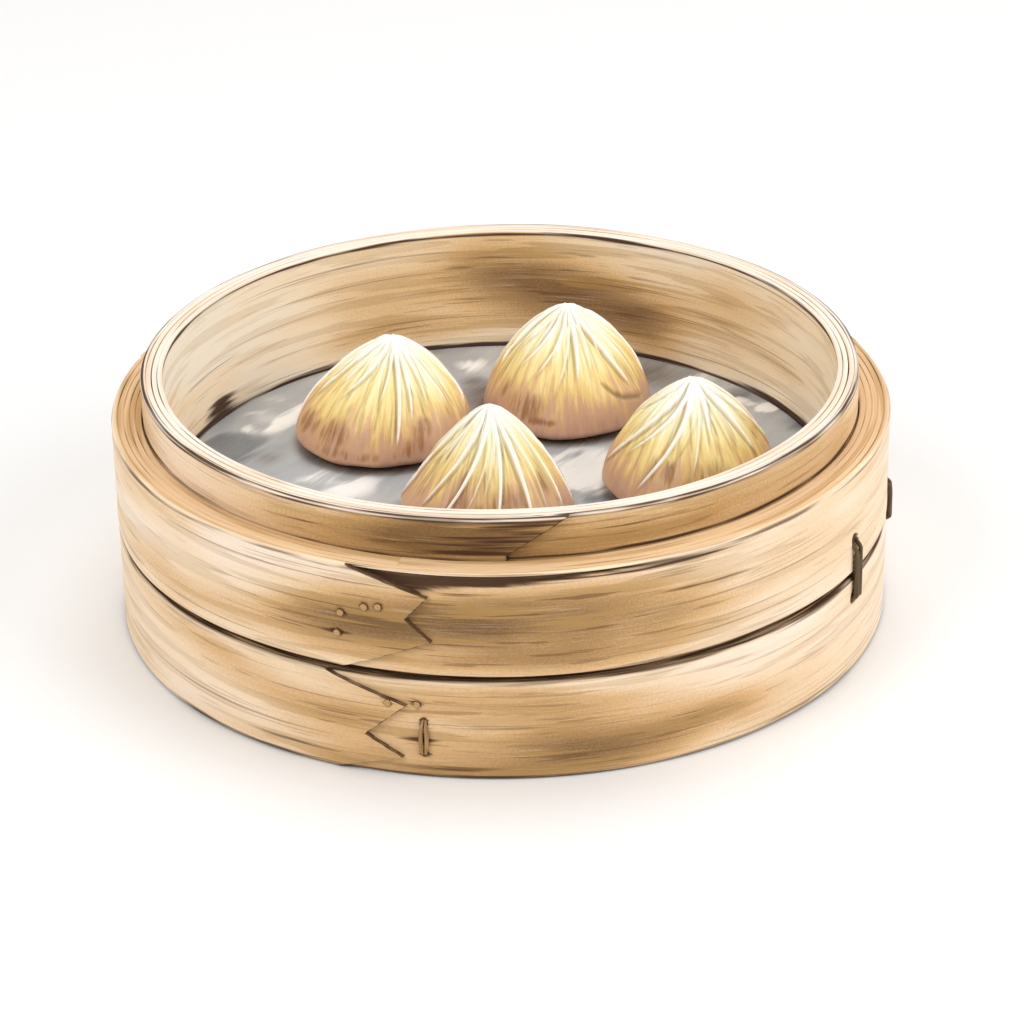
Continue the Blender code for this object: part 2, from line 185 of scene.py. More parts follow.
# Folds as azimuth near the point, azimuth low down, how low they reach as a share of the height,
# and strength
FOLDS = {
    "dumpling_left": (
        (-108, -84, 0.10, 0.9), (-68, -82, 0.40, 0.8), (-44, -66, 0.52, 0.45), (-22, -52, 0.50, 0.75),
        (-7, -28, 0.58, 0.45), (4, -10, 0.48, 0.7), (14, 9, 0.18, 1.0), (26, 20, 0.36, 0.8),
        (39, 36, 0.44, 0.7), (50, 58, 0.42, 0.8), (100, 76, 0.28, 1.0),
    ),
    "dumpling_back": (
        (-92, -76, 0.42, 1.0), (-52, -70, 0.62, 0.6), (-24, -56, 0.48, 0.75), (-4, -37, 0.44, 0.7),
        (5, -12, 0.38, 0.6), (14, 7, 0.46, 1.0), (28, 19, 0.46, 0.6), (38, 57, 0.32, 1.0),
        (62, 68, 0.50, 0.5), (112, 76, 0.26, 0.9),
    ),
    "dumpling_front": (
        (-82, -100, 0.06, 1.0), (-50, -80, 0.45, 0.6), (-22, -62, 0.16, 0.8), (-3, -40, 0.10, 1.0),
        (7, -20, 0.2, 0.55), (11, -6, 0.3, 0.5), (18, 5, 0.08, 1.0), (26, 18, 0.34, 0.45),
        (34, 32, 0.1, 1.0), (50, 46, 0.14, 0.55), (74, 60, 0.1, 0.75), (102, 76, 0.05, 0.9),
    ),
    "dumpling_right": (
        (-78, -118, 0.55, 0.7), (-42, -94, 0.20, 0.95), (-18, -70, 0.38, 0.85), (-4, -46, 0.16, 1.0),
        (8, -22, 0.42, 0.45), (10, -4, 0.30, 0.6), (23, 15, 0.62, 1.0), (34, 38, 0.42, 0.55),
        (52, 62, 0.40, 1.0), (84, 98, 0.30, 0.85),
    ),
}
FOLD_HEIGHT = 0.85 * MM
FOLD_WIDTH = 0.52 * MM
FOLD_TOP = 0.9
FOLD_TAPER = 0.55
CREASE_DEPTH = 0.36 * MM
SMALL_FOLDS = 22
BACK_FOLDS = 10
FINE_CREASES = 44

# The long crease low on the right of the back dumpling, as azimuths and heights in shares
TUCK = ((28, 37, 44, 60), (0.47, 0.37, 0.32, 0.27))

# Where the dough is painted brown, as azimuth, share of the height, half width in degrees, half
# height and strength: soup showing through, and painted shade, mostly on the lower left of each
# dumpling, away from the light.
BROWNED = {
    "dumpling_left": (
        (-67, 0.30, 14, 0.10, 0.9), (-37, 0.32, 11, 0.12, 0.8), (-30, 0.52, 5, 0.06, 0.5),
        (29, 0.38, 10, 0.10, 0.6), (20, 0.22, 12, 0.08, 0.5), (57, 0.42, 6, 0.12, 0.4),
        (-20, 0.15, 34, 0.05, 0.4),
    ),
    "dumpling_back": (
        (-32, 0.31, 14, 0.12, 0.75), (-18, 0.20, 8, 0.03, 0.9), (-57, 0.39, 8, 0.10, 0.5),
        (34, 0.26, 26, 0.12, 0.2),
    ),
    "dumpling_front": (
        (-24, 0.46, 10, 0.14, 0.85), (-4, 0.52, 5, 0.10, 0.7), (10, 0.40, 9, 0.12, 0.5),
        (24, 0.42, 8, 0.10, 0.55), (53, 0.42, 8, 0.11, 0.7), (-70, 0.33, 6, 0.08, 0.3),
        (-12, 0.28, 40, 0.10, 0.5),
    ),
    "dumpling_right": (
        (-20, 0.42, 6, 0.07, 1.0), (-35, 0.42, 5, 0.09, 0.6), (12, 0.42, 18, 0.10, 0.55),
        (39, 0.57, 6, 0.08, 0.5), (75, 0.53, 7, 0.06, 0.4), (-81, 0.58, 6, 0.06, 0.4),
        (0, 0.30, 40, 0.08, 0.3),
    ),
}

# Soft oval marks on the bamboo as azimuth, height in mm, half width in degrees, half height in
# mm, strength. Most are painted shade: the bands and the hoop are darker round the front middle
# and paler at the sides, as shading of a round side, with like patches made up round the back.
# Some are the bamboo's own uneven tone. On the inner wall the dark patch at the back is painted
# shade and stain.
UPPER_STAINS = (
    (-5, 43, 21, 10, 0.85), (14, 45, 15, 9, 0.55), (25, 38, 9, 6, 0.2), (2, 32, 20, 3.5, 0.4),
    (-24, 40, 11, 8, 0.4), (-48, 35, 18, 6, 0.18), (128, 44, 22, 8, 0.5), (222, 38, 26, 9, 0.55),
)
LOWER_STAINS = (
    (12, 7, 19, 7, 0.75), (-13, 9, 14, 8, 0.3), (-12, 2, 26, 3, 0.35), (31, 11, 8, 4, 0.3),
    (-44, 20, 16, 5, 0.25), (6, 20, 24, 6, 0.34), (-25, 14, 13, 6, 0.4), (150, 10, 26, 8, 0.5),
    (240, 8, 20, 7, 0.45),
)
HOOP_STAINS = (
    (-5, 61, 13, 7, 0.95), (-18, 60, 12, 6, 0.6), (16, 60, 15, 7, 0.65), (-36, 59, 12, 4, 0.3),
    (40, 60, 17, 6, 0.55), (70, 60, 16, 6, 0.25), (160, 61, 24, 6, 0.5),
)
WALL_STAINS = (
    (-178, 57, 9, 9, 0.4), (172, 51, 13, 13, 0.75), (158, 45, 12, 13, 0.62),
    (151, 40, 7, 8, 0.5), (136, 52, 14, 9, 0.22), (114, 47, 14, 9, 0.2),
    (-158, 48, 16, 12, 0.22), (200, 38, 14, 4, 0.35), (-20, 45, 25, 9, 0.5),
)

# Short dark strokes, given in the same way. Most are painted shade: in the dark front middle of
# the hoop, in the gap under the ledge and near the foot of the basket. One lies at a peg, one at a
# stitch, and one low on the inner wall.
UPPER_STROKES = (
    (-23.5, 36.9, 2.2, 0.6, 0.7), (-3, 36.4, 7, 0.7, 0.4), (3, 52.6, 9, 0.3, 0.85),
    (-5, 50.2, 6, 0.25, 0.7), (24, 48, 9, 0.16, 0.6), (12, 53.4, 12, 0.30, 0.8),
    (25, 53.8, 9, 0.30, 0.7), (17, 51.8, 9, 0.35, 0.5), (30, 46, 8, 0.25, 0.5),
)
LOWER_STROKES = (
    (-12.3, 10.4, 2.4, 0.8, 0.85), (-7, 2.5, 12, 0.5, 0.5), (-30, 4, 9, 0.4, 0.5),
    (14, 3, 10, 0.5, 0.4),
)
HOOP_STROKES = (
    (3, 64.2, 6, 0.4, 0.9), (-1, 63, 8, 0.32, 0.75), (4, 62.2, 4, 0.3, 0.9),
    (-5, 61.2, 8, 0.35, 0.75), (1, 60.1, 6, 0.35, 0.9), (-8, 59.3, 10, 0.35, 0.75),
    (-2, 58.3, 6, 0.4, 0.9), (-4, 57.2, 8, 0.5, 0.95), (21, 62.6, 5, 0.3, 0.7),
    (19, 61.2, 5, 0.25, 0.6), (18, 59.4, 6, 0.3, 0.7), (-32, 60.4, 6, 0.3, 0.5),
)
WALL_STROKES = ((-118.5, 34.6, 4, 3.2, 1),)

# Marks on the plate as x, y and half width in mm, strength, how crisp. The brown ones are soup,
# painted reflections of the dumplings beside them, and a painted shadow ring round each
# dumpling's foot; the pale and dark ones are painted reflections.
SOUP_MARKS = (
    (-62, 15, 4, 0.6, 2), (-4, 56, 7, 0.8, 2), (-5, 47, 5, 0.7, 2), (42, 64, 9, 0.8, 2),
    (20, 12, 8, 0.2, 2), (46, 24, 7, 0.5, 2), (-31.8, 26.2, 23.4, 0.9, 26),
    (18, 41.8, 23.3, 0.9, 26), (48.6, -7, 22.7, 0.7, 26), (-4.2, -20, 22.9, 0.7, 26),
)
PALE_MARKS = (
    (-42, -1, 10, 0.7, 2), (21, 4, 13, 1, 2), (-64, 40, 9, 0.9, 2), (-56, 50, 6, 0.6, 2),
    (-10, 73, 6, 1, 2), (73, 40, 4, 0.9, 3), (66, 45, 3, 0.7, 3), (55, 62, 7, 0.4, 2),
    (-54, 2, 5, 0.6, 2),
)
DARK_MARKS = (
    (-74, 20, 13, 0.8, 3), (-62, 4, 10, 0.6, 3), (-42, -24, 12, 0.4, 3), (40, -36, 9, 0.4, 3),
    (-17, 83, 6, 0.9, 2), (-58, 22, 5, 0.6, 2), (80, 30, 6, 0.9, 2), (66, 48, 6, 0.6, 2),
    (24, -12, 5, 0.6, 2), (-8, 62, 5, 0.4, 2),
)

# The camera, from the hoop's axis
CAMERA_ELEVATION = 25.942
CAMERA_DISTANCE = 900 * MM
CAMERA_HEIGHT = 35 * MM
CAMERA_TARGET = (2.4556 * MM, 0.0, 21.7017 * MM)
CAMERA_ROLL = -1.01265
CAMERA_LENS = 121.34
CAMERA_SENSOR = 36

# Lamps as name, place, size, power and colour
LAMPS = (
    ("key", (-0.9, -0.75, 1.25), 0.9, 9, (1, 0.985, 0.96)),
    ("fill", (1.15, -0.55, 0.9), 1.2, 10, (1, 1, 1)),
    ("top", (0.1, 0.45, 1.6), 1.1, 9, (1, 1, 1)),
)
LAMP_AIM = (0, 0, 0.03)
WORLD_LIGHT = 0.58
FLOOR_HALF = 4.0

# Colours of the bamboo: ground from light to dark, strokes on it, cut edges, and dirt with painted
# shade. The darker ground and the strokes show mostly where painted shade lies on the bamboo.
BAND_GROUND = ((0.0, "FCEAD8"), (0.25, "F3D8B6"), (0.5, "DCB381"), (0.75, "B18B5C"), (1.0, "7F613F"))
HOOP_GROUND = ((0.0, "F9E2C8"), (0.25, "E9C79B"), (0.5, "C59C66"), (0.75, "947145"), (1.0, "664A2F"))
WALL_GROUND = ((0.0, "FFF6E4"), (0.25, "FFE8C6"), (0.5, "EAC490"), (0.75, "B89467"), (1.0, "8A6A4A"))
LATH_GROUND = ((0.0, "E2C79A"), (0.3, "CDAA78"), (0.6, "A88355"), (0.8, "8A683E"), (1.0, "65492B"))
STROKES = ("B28C56", "7A5735", "5E4230")
TAN_EDGES = ("E3C096", "C09862", "F4E0C4")
CREAM_EDGES = ("F5E6D8", "E4C8A8", "F8ECDF")
LATH_EDGES = ("DCC08F", "B5905C", "E8D2A8")
BAND_GRIME = "4E3423"
HOOP_GRIME = "4C3322"
WALL_GRIME = "4A3028"
LATH_GRIME = "4E3A22"

# Colours of the other finishes
DARK_CANE = ((0.3, "2E210F"), (0.55, "58431F"), (0.8, "7C6332"))
PALE_CANE = ((0.3, "6E5330"), (0.55, "A98150"), (0.8, "D2AE7B"))
PEG_WOOD = ((0.3, "8A6538"), (0.5, "BE955F"), (0.75, "D4B07C"))
# The darker rim of a peg's end is painted shade in the gap round it
PEG_RIM = "5A3D28"
# The plate's greys vary in painted reflection streaks; its dark and pale colours are painted reflections,
# and its brown stands for soup, painted reflections and painted shadow.
PLATE_GREYS = ((0.34, "A5A8AC"), (0.5, "B1B4B6"), (0.66, "C3C5C5"))
PLATE_DARK = "5F6670"
PLATE_PALE = "F7F6F2"
SOUP = "54392C"
# The dough's brown is soup with painted shade, its lip and white are painted highlights, its valley colour
# is painted shade in the creases, and its tones grow paler to the top partly as painted light.
DOUGH_BROWNED = "8E5B36"
DOUGH_LIP = "E9D2B2"
DOUGH_VALLEY = "94805C"
DOUGH_WHITE = "FFFDF7"
DOUGH_TONES = (
    (0.0, "BE957C"), (0.16, "C89F84"), (0.3, "CEA47E"), (0.42, "E0BA7A"),
    (0.56, "EDD689"), (0.72, "F2E2A9"), (0.88, "FBF3D6"), (1.0, "FFFDF6"),
)


def tone(code):
    """The linear colour of an sRGB colour, which is written as six hexadecimal digits."""
    values = np.array([int(code[place : place + 2], 16) / 255 for place in (0, 2, 4)])
    low = values / 12.92
    high = ((values + 0.055) / 1.055) ** 2.4
    return tuple(float(value) for value in np.where(values <= 0.04045, low, high))


# Meshes from arrays


def linked(name, data):
    obj = bpy.data.objects.new(name, data)
    bpy.context.scene.collection.objects.link(obj)
    return obj


def piece(name, points, faces, material, slot, nodes, sharp=40, **values):
    """A mesh from an array of points and arrays of face corners, each with its own corner count.

    Every further value is an array with one number or one vector for each point, and becomes the
    mesh's attribute of that name. The piece rides on the basket and stands for the named nodes.
    """
    mesh = bpy.data.meshes.new(name)
    mesh.vertices.add(len(points))
    mesh.vertices.foreach_set("co", points.astype(np.float32).ravel())
    corners = np.concatenate([group.ravel() for group in faces])
    sides = np.concatenate([np.full(len(group), group.shape[1]) for group in faces])
    mesh.loops.add(len(corners))
    mesh.loops.foreach_set("vertex_index", corners.astype(np.int32))
    mesh.polygons.add(len(sides))
    mesh.polygons.foreach_set("loop_start", (np.cumsum(sides) - sides).astype(np.int32))
    mesh.update(calc_edges=True)
    mesh.validate()
    for key, value in values.items():
        vector = value.ndim == 2
        made = mesh.attributes.new(key, "FLOAT_VECTOR" if vector else "FLOAT", "POINT")
        made.data.foreach_set("vector" if vector else "value", value.astype(np.float32).ravel())
    mesh.shade_smooth()
    mesh.set_sharp_from_angle(angle=math.radians(sharp))
    mesh.materials.append(material)
    obj = linked(name, mesh)
    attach(obj, BODY)
    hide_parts(*nodes)


def net(rows, columns, wrap_rows=False):
    """The four-cornered faces of a grid of points whose columns close into a ring.

    Each face takes the point, the one below it, and the same two of the next column, so it points
    outwards where rows run down the outer side and columns run towards +X from the front.
    """
    row = np.arange(rows if wrap_rows else rows - 1)[:, None]
    column = np.arange(columns)[None, :]
    below = (row + 1) % rows
    beside = (column + 1) % columns
    corners = [
        row * columns + column,
        below * columns + column,
        below * columns + beside,
        row * columns + beside,
    ]
    return np.stack(np.broadcast_arrays(*corners), -1).reshape(-1, 4)


def fan(pole, ring, facing_up):
    """Triangles from one pole point to a closed ring of point numbers."""
    after = np.roll(ring, -1)
    first, second = (ring, after) if facing_up else (after, ring)
    return np.stack([np.full(len(ring), pole), first, second], -1)


def shell(points, poles, outwards=True):
    """The points and faces of a grid whose first and last row are each closed by a pole.

    The faces are turned round where outwards is False, for rows that run the other way.
    """
    rows, columns = points.shape[:2]
    flat = np.concatenate([points.reshape(-1, 3), poles])
    sides = net(rows, columns)
    first = np.arange(columns)
    last = first + (rows - 1) * columns
    caps = [fan(len(flat) - 2, first, outwards), fan(len(flat) - 1, last, not outwards)]
    return flat, [sides if outwards else sides[:, ::-1], *caps]


def middles(points):
    """The middle of a grid's first row and of its last one."""
    return [points[0].mean(0), points[-1].mean(0)]


def along_strip(values, shift):
    """Strip coordinates of a grid and its two poles, moved so that no two pieces share a grain."""
    strip = np.stack(np.broadcast_arrays(*values), -1).reshape(-1, 3)
    return np.concatenate([strip, strip[:1], strip[-1:]]) + np.array([*shift, 0])


def turns(count, start=0.0):
    """Angles evenly round one turn, as one row."""
    return np.linspace(start, start + TURN, count, endpoint=False)[None, :]


def round_axis(radius, azimuth, height):
    """Points at a radius and height round the hoop's axis, for an azimuth in radians."""
    x = AXIS_X + radius * np.sin(azimuth)
    y = AXIS_Y - radius * np.cos(azimuth)
    return np.stack(np.broadcast_arrays(x, y, height), -1)


def beside_axis(azimuth, out, across, up):
    """Points this far out from the hoop's axis, sideways and up, for an azimuth in degrees."""
    angle = math.radians(azimuth)
    x = AXIS_X + out * math.sin(angle) + across * math.cos(angle)
    y = AXIS_Y - out * math.cos(angle) + across * math.sin(angle)
    return np.stack(np.broadcast_arrays(x, y, up), -1)


def waves(seed, count, along, across, long_range, cross_range):
    """A sum of sine waves over a surface, mostly within -1 and 1.

    Each wave has its own number of cycles a metre along and across the surface, drawn evenly from
    the two ranges, and its own start.
    """
    draw = np.random.default_rng(seed)
    total = 0.0
    for _ in range(count):
        lengthwise = draw.uniform(*long_range) * draw.choice((-1, 1))
        crosswise = draw.uniform(*cross_range)
        total = total + np.sin(TURN * (lengthwise * along + crosswise * across + draw.random()))
    return total / math.sqrt(2 * count)


def swell(seed, count, angle, cycles):
    """A sum of sine waves that close after one turn, mostly within -1 and 1."""
    draw = np.random.default_rng(seed)
    total = 0.0
    for _ in range(count):
        total = total + np.sin(draw.integers(*cycles) * angle + TURN * draw.random())
    return total / math.sqrt(2 * count)


def ease(value, low, high):
    """0 below low, 1 above high, and a smooth rise between."""
    share = np.clip((value - low) / (high - low), 0, 1)
    return share * share * (3 - 2 * share)


def bump_at(value, place, width):
    """1 at a place, falling to 0 as a bell of this half width."""
    return np.exp(-(((value - place) / width) ** 2))


def turned_by(azimuth, place):
    """Degrees from a place to an azimuth in radians, between -180 and 180."""
    return (np.degrees(azimuth) - place + 180) % 360 - 180


def marks(azimuth, height, spots):
    """Soft oval marks: each adds its strength times a bell over azimuth and one over height."""
    total = np.zeros(np.broadcast(azimuth, height).shape)
    for place, level, width, tall, strength in spots:
        total += strength * bump_at(turned_by(azimuth, place), 0, width) * bump_at(height, level, tall)
    return np.clip(total, 0, 1)


def crowded(count, places, width, gain):
    """Angles round one turn from a seam, closer together near the given places.

    The points share out evenly the sum of 1 and, for each place, a bell of this width and gain.
    """
    even = np.linspace(SEAM_SLIT / 2, TURN - SEAM_SLIT / 2, 6000)
    density = 1 + sum(gain * bump_at(even, place, width) for place in (0, TURN, *places))
    total = np.concatenate([[0], np.cumsum((density[1:] + density[:-1]) / 2)])
    return np.interp(np.linspace(0, total[-1], count), total, even)


# Wound strips


def spaced(*stretches):
    """Levels along stretches of (start, end, spacing), each level once, from low to high."""
    parts = []
    for start, end, spacing in stretches:
        parts.append(np.linspace(start, end, max(2, round((end - start) / spacing) + 1)))
    return np.unique(np.concatenate(parts).round(7))


def cut_rows(start, end, joints):
    """Rows across a cut edge, as (radius, depth): flat, with a V-shaped groove at each joint."""
    radii = list(np.linspace(start, end, CUT_STEPS, endpoint=False))
    radii += [joint + side * JOINT_HALF for joint in joints for side in (-1, 0, 1)]
    radii = np.array(sorted(radii, reverse=start > end))
    sunk = np.zeros(len(radii))
    for joint in joints:
        sunk += JOINT_DEPTH * np.clip(1 - abs(radii - joint) / JOINT_HALF, 0, 1)
    return radii, sunk


def corner(centre_radius, centre_height, radius, start, end):
    """Rows round a rounded edge, by angles in degrees from the outward direction, and how far
    each faces up or down."""
    angle = np.radians(np.linspace(start, end, CORNER_STEPS, endpoint=False))
    upright = ease(abs(np.sin(angle)), 0.1, 0.7)
    return centre_radius + radius * np.cos(angle), centre_height + radius * np.sin(angle), upright


def between(levels, low, high):
    """The different levels that are clear of both ends, going up."""
    kept = np.unique(np.round(levels, 7))
    return kept[(kept > low + LEVEL_GAP) & (kept < high - LEVEL_GAP)]


def ring_profile(inner, outer, low, high, joints, outer_levels, inner_levels, rounds):
    """The closed cross-section of a ring, as rows that run down the outer side.

    It returns radius, height, distance along the section, 1 on cut edges, 1 on the outer side
    falling to 0 through the outermost layer of the two cut edges, 1 on the upper outer corner, which
    is painted paler as wear and a painted highlight, and 1 at the bottom of the grooves between
    layers.
    """
    outer_round, inner_round = rounds
    top, top_sunk = cut_rows(inner + inner_round, outer - outer_round, joints)
    base, base_sunk = cut_rows(outer - outer_round, inner + inner_round, joints)
    down = between(outer_levels, low + outer_round, high - outer_round)[::-1]
    up = between(inner_levels, low + inner_round, high - inner_round)
    a_r, a_z, a_up = corner(outer - outer_round, high - outer_round, outer_round, 90, 0)
    b_r, b_z, b_up = corner(outer - outer_round, low + outer_round, outer_round, 0, -90)
    c_r, c_z, c_up = corner(inner + inner_round, low + inner_round, inner_round, -90, -180)
    d_r, d_z, d_up = corner(inner + inner_round, high - inner_round, inner_round, 180, 90)
    side, within = np.full(len(down), outer), np.full(len(up), inner)
    radius = np.concatenate([top, a_r, side, b_r, base, c_r, within, d_r])
    height = np.concatenate([high - top_sunk, a_z, down, b_z, low + base_sunk, c_z, up, d_z])
    level, raised = np.ones(len(top)), np.ones(len(base))
    cut = np.concatenate([level, a_up, 0 * side, b_up, raised, c_up, 0 * within, d_up])
    edge = ease(radius, outer - LAYER, outer - EDGE_ROUND)
    turned_in = len(c_r) + len(up) + len(d_r)
    edge[-turned_in:] = 0
    step = np.hypot(np.diff(radius), np.diff(height))
    section = np.concatenate([[0], np.cumsum(step)])
    worn = bump_at(section, section[len(top) + CORNER_STEPS // 2], WORN_HALF)
    flat = [0 * part for part in (a_r, down, b_r)]
    sunk = np.concatenate([top_sunk, *flat, base_sunk, 0 * c_r, 0 * up, 0 * d_r]) / JOINT_DEPTH
    return radius, height, section, cut, edge, worn, sunk


def end_at(outline, height):
    """The azimuth of a strip's end at a height, straight between the corners of its outline."""
    ordered = sorted(outline, key=lambda entry: entry[1])
    return np.interp(height, [level for _, level in ordered], [place for place, _ in ordered])


def under_ledge(height, signed):
    """1 inside the dark gap under the ledge, which tapers off right of the strip's end."""
    top = LEDGE_HEIGHT - RECESS_LIP
    tall = RECESS_TALL * np.clip(1 - signed / RECESS_REACH, 0, 1) ** 1.6
    low = ease(height, top - tall, top - tall + 0.6 * MM)
    high = 1 - ease(height, top - 0.3 * MM, top)
    return low * high * ease(tall, 0.15 * MM, 1.0 * MM) * (signed > 0)


def holes(azimuth, height, full, places):
    """How deep the surface sinks at the holes for strands and pegs, and how dark it is there: dirt
    with painted shade in the hollow.

    Each hole's depth is multiplied by exp(-(distance / size) to the fourth power).
    """
    hollow = np.zeros(azimuth.shape)
    dirt = np.zeros(azimuth.shape)
    for place, level, size, depth in places:
        sideways = np.radians(turned_by(azimuth, place)) * full
        near = np.hypot(sideways, height - level) / size
        hollow += depth * np.exp(-(near**4))
        dirt += min(1.0, depth / (0.5 * MM)) * np.exp(-((near / 1.1) ** 6))
    return hollow, dirt


def growth_rings(azimuth, height, full, places):
    """How far the surface rises at the growth rings, and how dark the groove beside each is."""
    relief = np.zeros(azimuth.shape)
    line = np.zeros(azimuth.shape)
    for place in places:
        sideways = np.radians(turned_by(azimuth, place)) * full + 0.8 * MM * np.sin(height * 160)
        relief += RING_RIDGE * bump_at(sideways, 0, 1.5 * MM)
        relief -= RING_GROOVE * bump_at(sideways, RING_BESIDE, 1.0 * MM)
        line += 0.5 * bump_at(sideways, RING_BESIDE, 1.1 * MM)
    return relief, line


def grime(radius, height, sunk, past, outer, inner, looks):
    """Dirt and painted shade: dark joints between layers, the dark outer skin, and the darkening near
    the edges in the looks, which is dirt with painted shade in gaps and corners and along the foot.
    """
    uneven = 1.2 + 0.7 * swell(looks["seed"] + 5, 5, past, (2, 9))
    broken = np.clip(0.75 + 0.7 * swell(looks["seed"] + 6, 6, past, (3, 17)), 0, 1)
    dirt = looks["joint_dirt"] * sunk * broken
    skin = bump_at(radius, radius.max() - SKIN_DEPTH, SKIN_HALF) * (height > height.max() - 0.3 * MM)
    dirt += looks.get("skin_dirt", 0) * skin * np.clip(0.4 + uneven / 2, 0, 1)
    for edge, width, strength, whole in looks.get("edge_grime", NO_MARKS):
        near = strength * np.exp(-((abs(height - edge) / (width * uneven)) ** 1.5))
        dirt += near if whole else near * outer
    for edge, width, strength in looks.get("inner_grime", NO_MARKS):
        dirt += strength * bump_at(height, edge, width * uneven) * inner
    return dirt


def wound_ring(name, nodes, material, slot, profile, seam, outline, count, places=(), **looks):
    """A ring wound from a strip, with the strip's outer end stepping down along an outline.

    Columns start right of the seam and run once round to its left. On the outer side, a column is
    drawn sideways by the outline's offset at that height times (1 - distance / reach) squared, and
    its radius is lowered by the step times (1 - distance / taper) right of the seam. Grain, slow
    waves, holes, growth rings and the recess under the ledge are added to the radius there.
    """
    radius, height, section, cut, outward, worn, sunk = [values[:, None] for values in profile]
    full = float(radius.max())
    crowds = [math.radians((place - seam) % 360) for place in places]
    past = crowded(count, crowds, 0.05, 2.0)[None, :]
    signed = np.where(past < math.pi, past, past - TURN)
    away = abs(signed)
    pull = np.clip(1 - away / SEAM_REACH, 0, None) ** 2
    azimuth = math.radians(seam) + signed + outward * np.radians(end_at(outline, height) - seam) * pull
    right = signed > 0
    step = looks.get("step", STRIP_STEP)
    end_shows = step > 0
    drop = np.where(right, step * np.clip(1 - signed / STRIP_TAPER, 0, 1), 0)
    lift = np.where(right, 0, end_shows * END_LIFT * np.exp(-away / END_LIFT_REACH))
    seed = looks["seed"]
    along = past * full
    fine = waves(seed, 26, along, section, (3, 30), (120, 700))
    broad = waves(seed + 1, 14, along, section, (2, 9), (20, 90))
    slow = swell(seed + 2, 4, past, (2, 6))
    relief = looks["relief"] * (0.6 * fine + 0.4 * broad) + looks["sway"] * slow
    hollow, dirt = holes(azimuth, height, full, looks.get("holes", NO_MARKS))
    rings, ring_line = growth_rings(azimuth, height, full, looks.get("rings", NO_MARKS))
    if looks.get("recess"):
        inside = under_ledge(height, signed) * outward
        hollow += RECESS_DEPTH * inside
        # The recess under the ledge is also painted dark, as shade inside it
        dirt += 0.9 * inside
    outer = outward > OUTER_PART
    inner = radius < radius.min() + 0.1 * MM
    rise = relief + rings + lift - drop - hollow
    reach = radius + outward * rise - 0.5 * inner * looks["relief"] * fine
    level = height + cut * looks["relief"] * 0.5 * fine
    level = level + looks["edge_sway"] * swell(seed + 3, 5, past, (2, 9)) * (height > height.mean())
    # The dark line along a strip's end is its joint, with painted shade beside the step
    end_line = np.exp(-away / SEAM_DIRT)
    fade = np.where(right, looks.get("past_end", 1), 1)
    dirt += grime(radius, height, sunk, past, outer, inner, looks) + end_shows * end_line * outer
    # Dark strokes, mostly painted shade, weaker right of a strip's end where the looks say so
    dirt += marks(azimuth, height / MM, looks["strokes"]) * fade
    # The patches of painted shade and of the bamboo's own tone, with dark lines at the growth rings and
    # the inner seam
    shade = marks(azimuth, height / MM, looks["stains"]) * fade + ring_line + 0.6 * end_line * inner
    piece(
        name,
        round_axis(reach, azimuth, level).reshape(-1, 3),
        [net(*azimuth.shape, wrap_rows=True)],
        material,
        slot,
        nodes,
        strip=np.stack(np.broadcast_arrays(along + seed, section + 0 * past, 0 * past), -1).reshape(-1, 3),
        cut=np.broadcast_to(cut, azimuth.shape).ravel(),
        dirt=np.clip(dirt, 0, 1).ravel(),
        shade=np.clip(shade, 0, 1).ravel(),
        worn=np.broadcast_to(worn, azimuth.shape).ravel(),
    )


def strand_holes(band_low, band_high):
    """The holes that strands go into on one band, as azimuth, height, size and depth."""
    found = []
    for _, place, low, high, size, _ in STITCHES:
        for level in (low + STRAND_RADIUS * size, high - STRAND_RADIUS * size):
            if band_low < level < band_high:
                found.append((place, level, *(size * value for value in STRAND_HOLE)))
    return found


def strand_shadows(band_low, band_high):
    """Dark marks behind the strands on one band, in the same form as the strokes."""
    found = []
    for _, place, low, high, size, _ in STITCHES:
        if low < band_high and high > band_low:
            found.append((place, (low + high) / 2 / MM, 0.7 * size, 0.45 * (high - low) / MM, 0.6))
    return found


def band(name, seed, low, high, stretches, seam, outline, pegs_at, rings, strokes, material, **looks):
    """One outer band, cut more finely along the stretches where it has edges."""
    joints = [BASKET_RADIUS - LAYER * index for index in range(1, BAND_LAYERS)]
    levels = np.append(spaced(*stretches), [level for _, level in outline[1:-1]])
    hidden = spaced((0, LEDGE_HEIGHT, 4 * MM))
    rounds = (EDGE_ROUND, 0.4 * MM)
    profile = ring_profile(RIM_RADIUS + GAP, BASKET_RADIUS, low, high, joints, levels, hidden, rounds)
    wound_ring(
        f"band_{name}_strip",
        [f"{name}_band"],
        material,
        "bamboo_band",
        profile,
        seam,
        outline,
        BAND_COLUMNS,
        places=[place for _, place, *_ in STITCHES] + list(rings),
        seed=seed,
        relief=0.11 * MM,
        sway=0.22 * MM,
        edge_sway=0.15 * MM,
        joint_dirt=0.55,
        holes=strand_holes(low, high) + [(*place, *PEG_HOLE) for place in pegs_at],
        rings=rings,
        strokes=(*strokes, *strand_shadows(low, high)),
        **looks,
    )


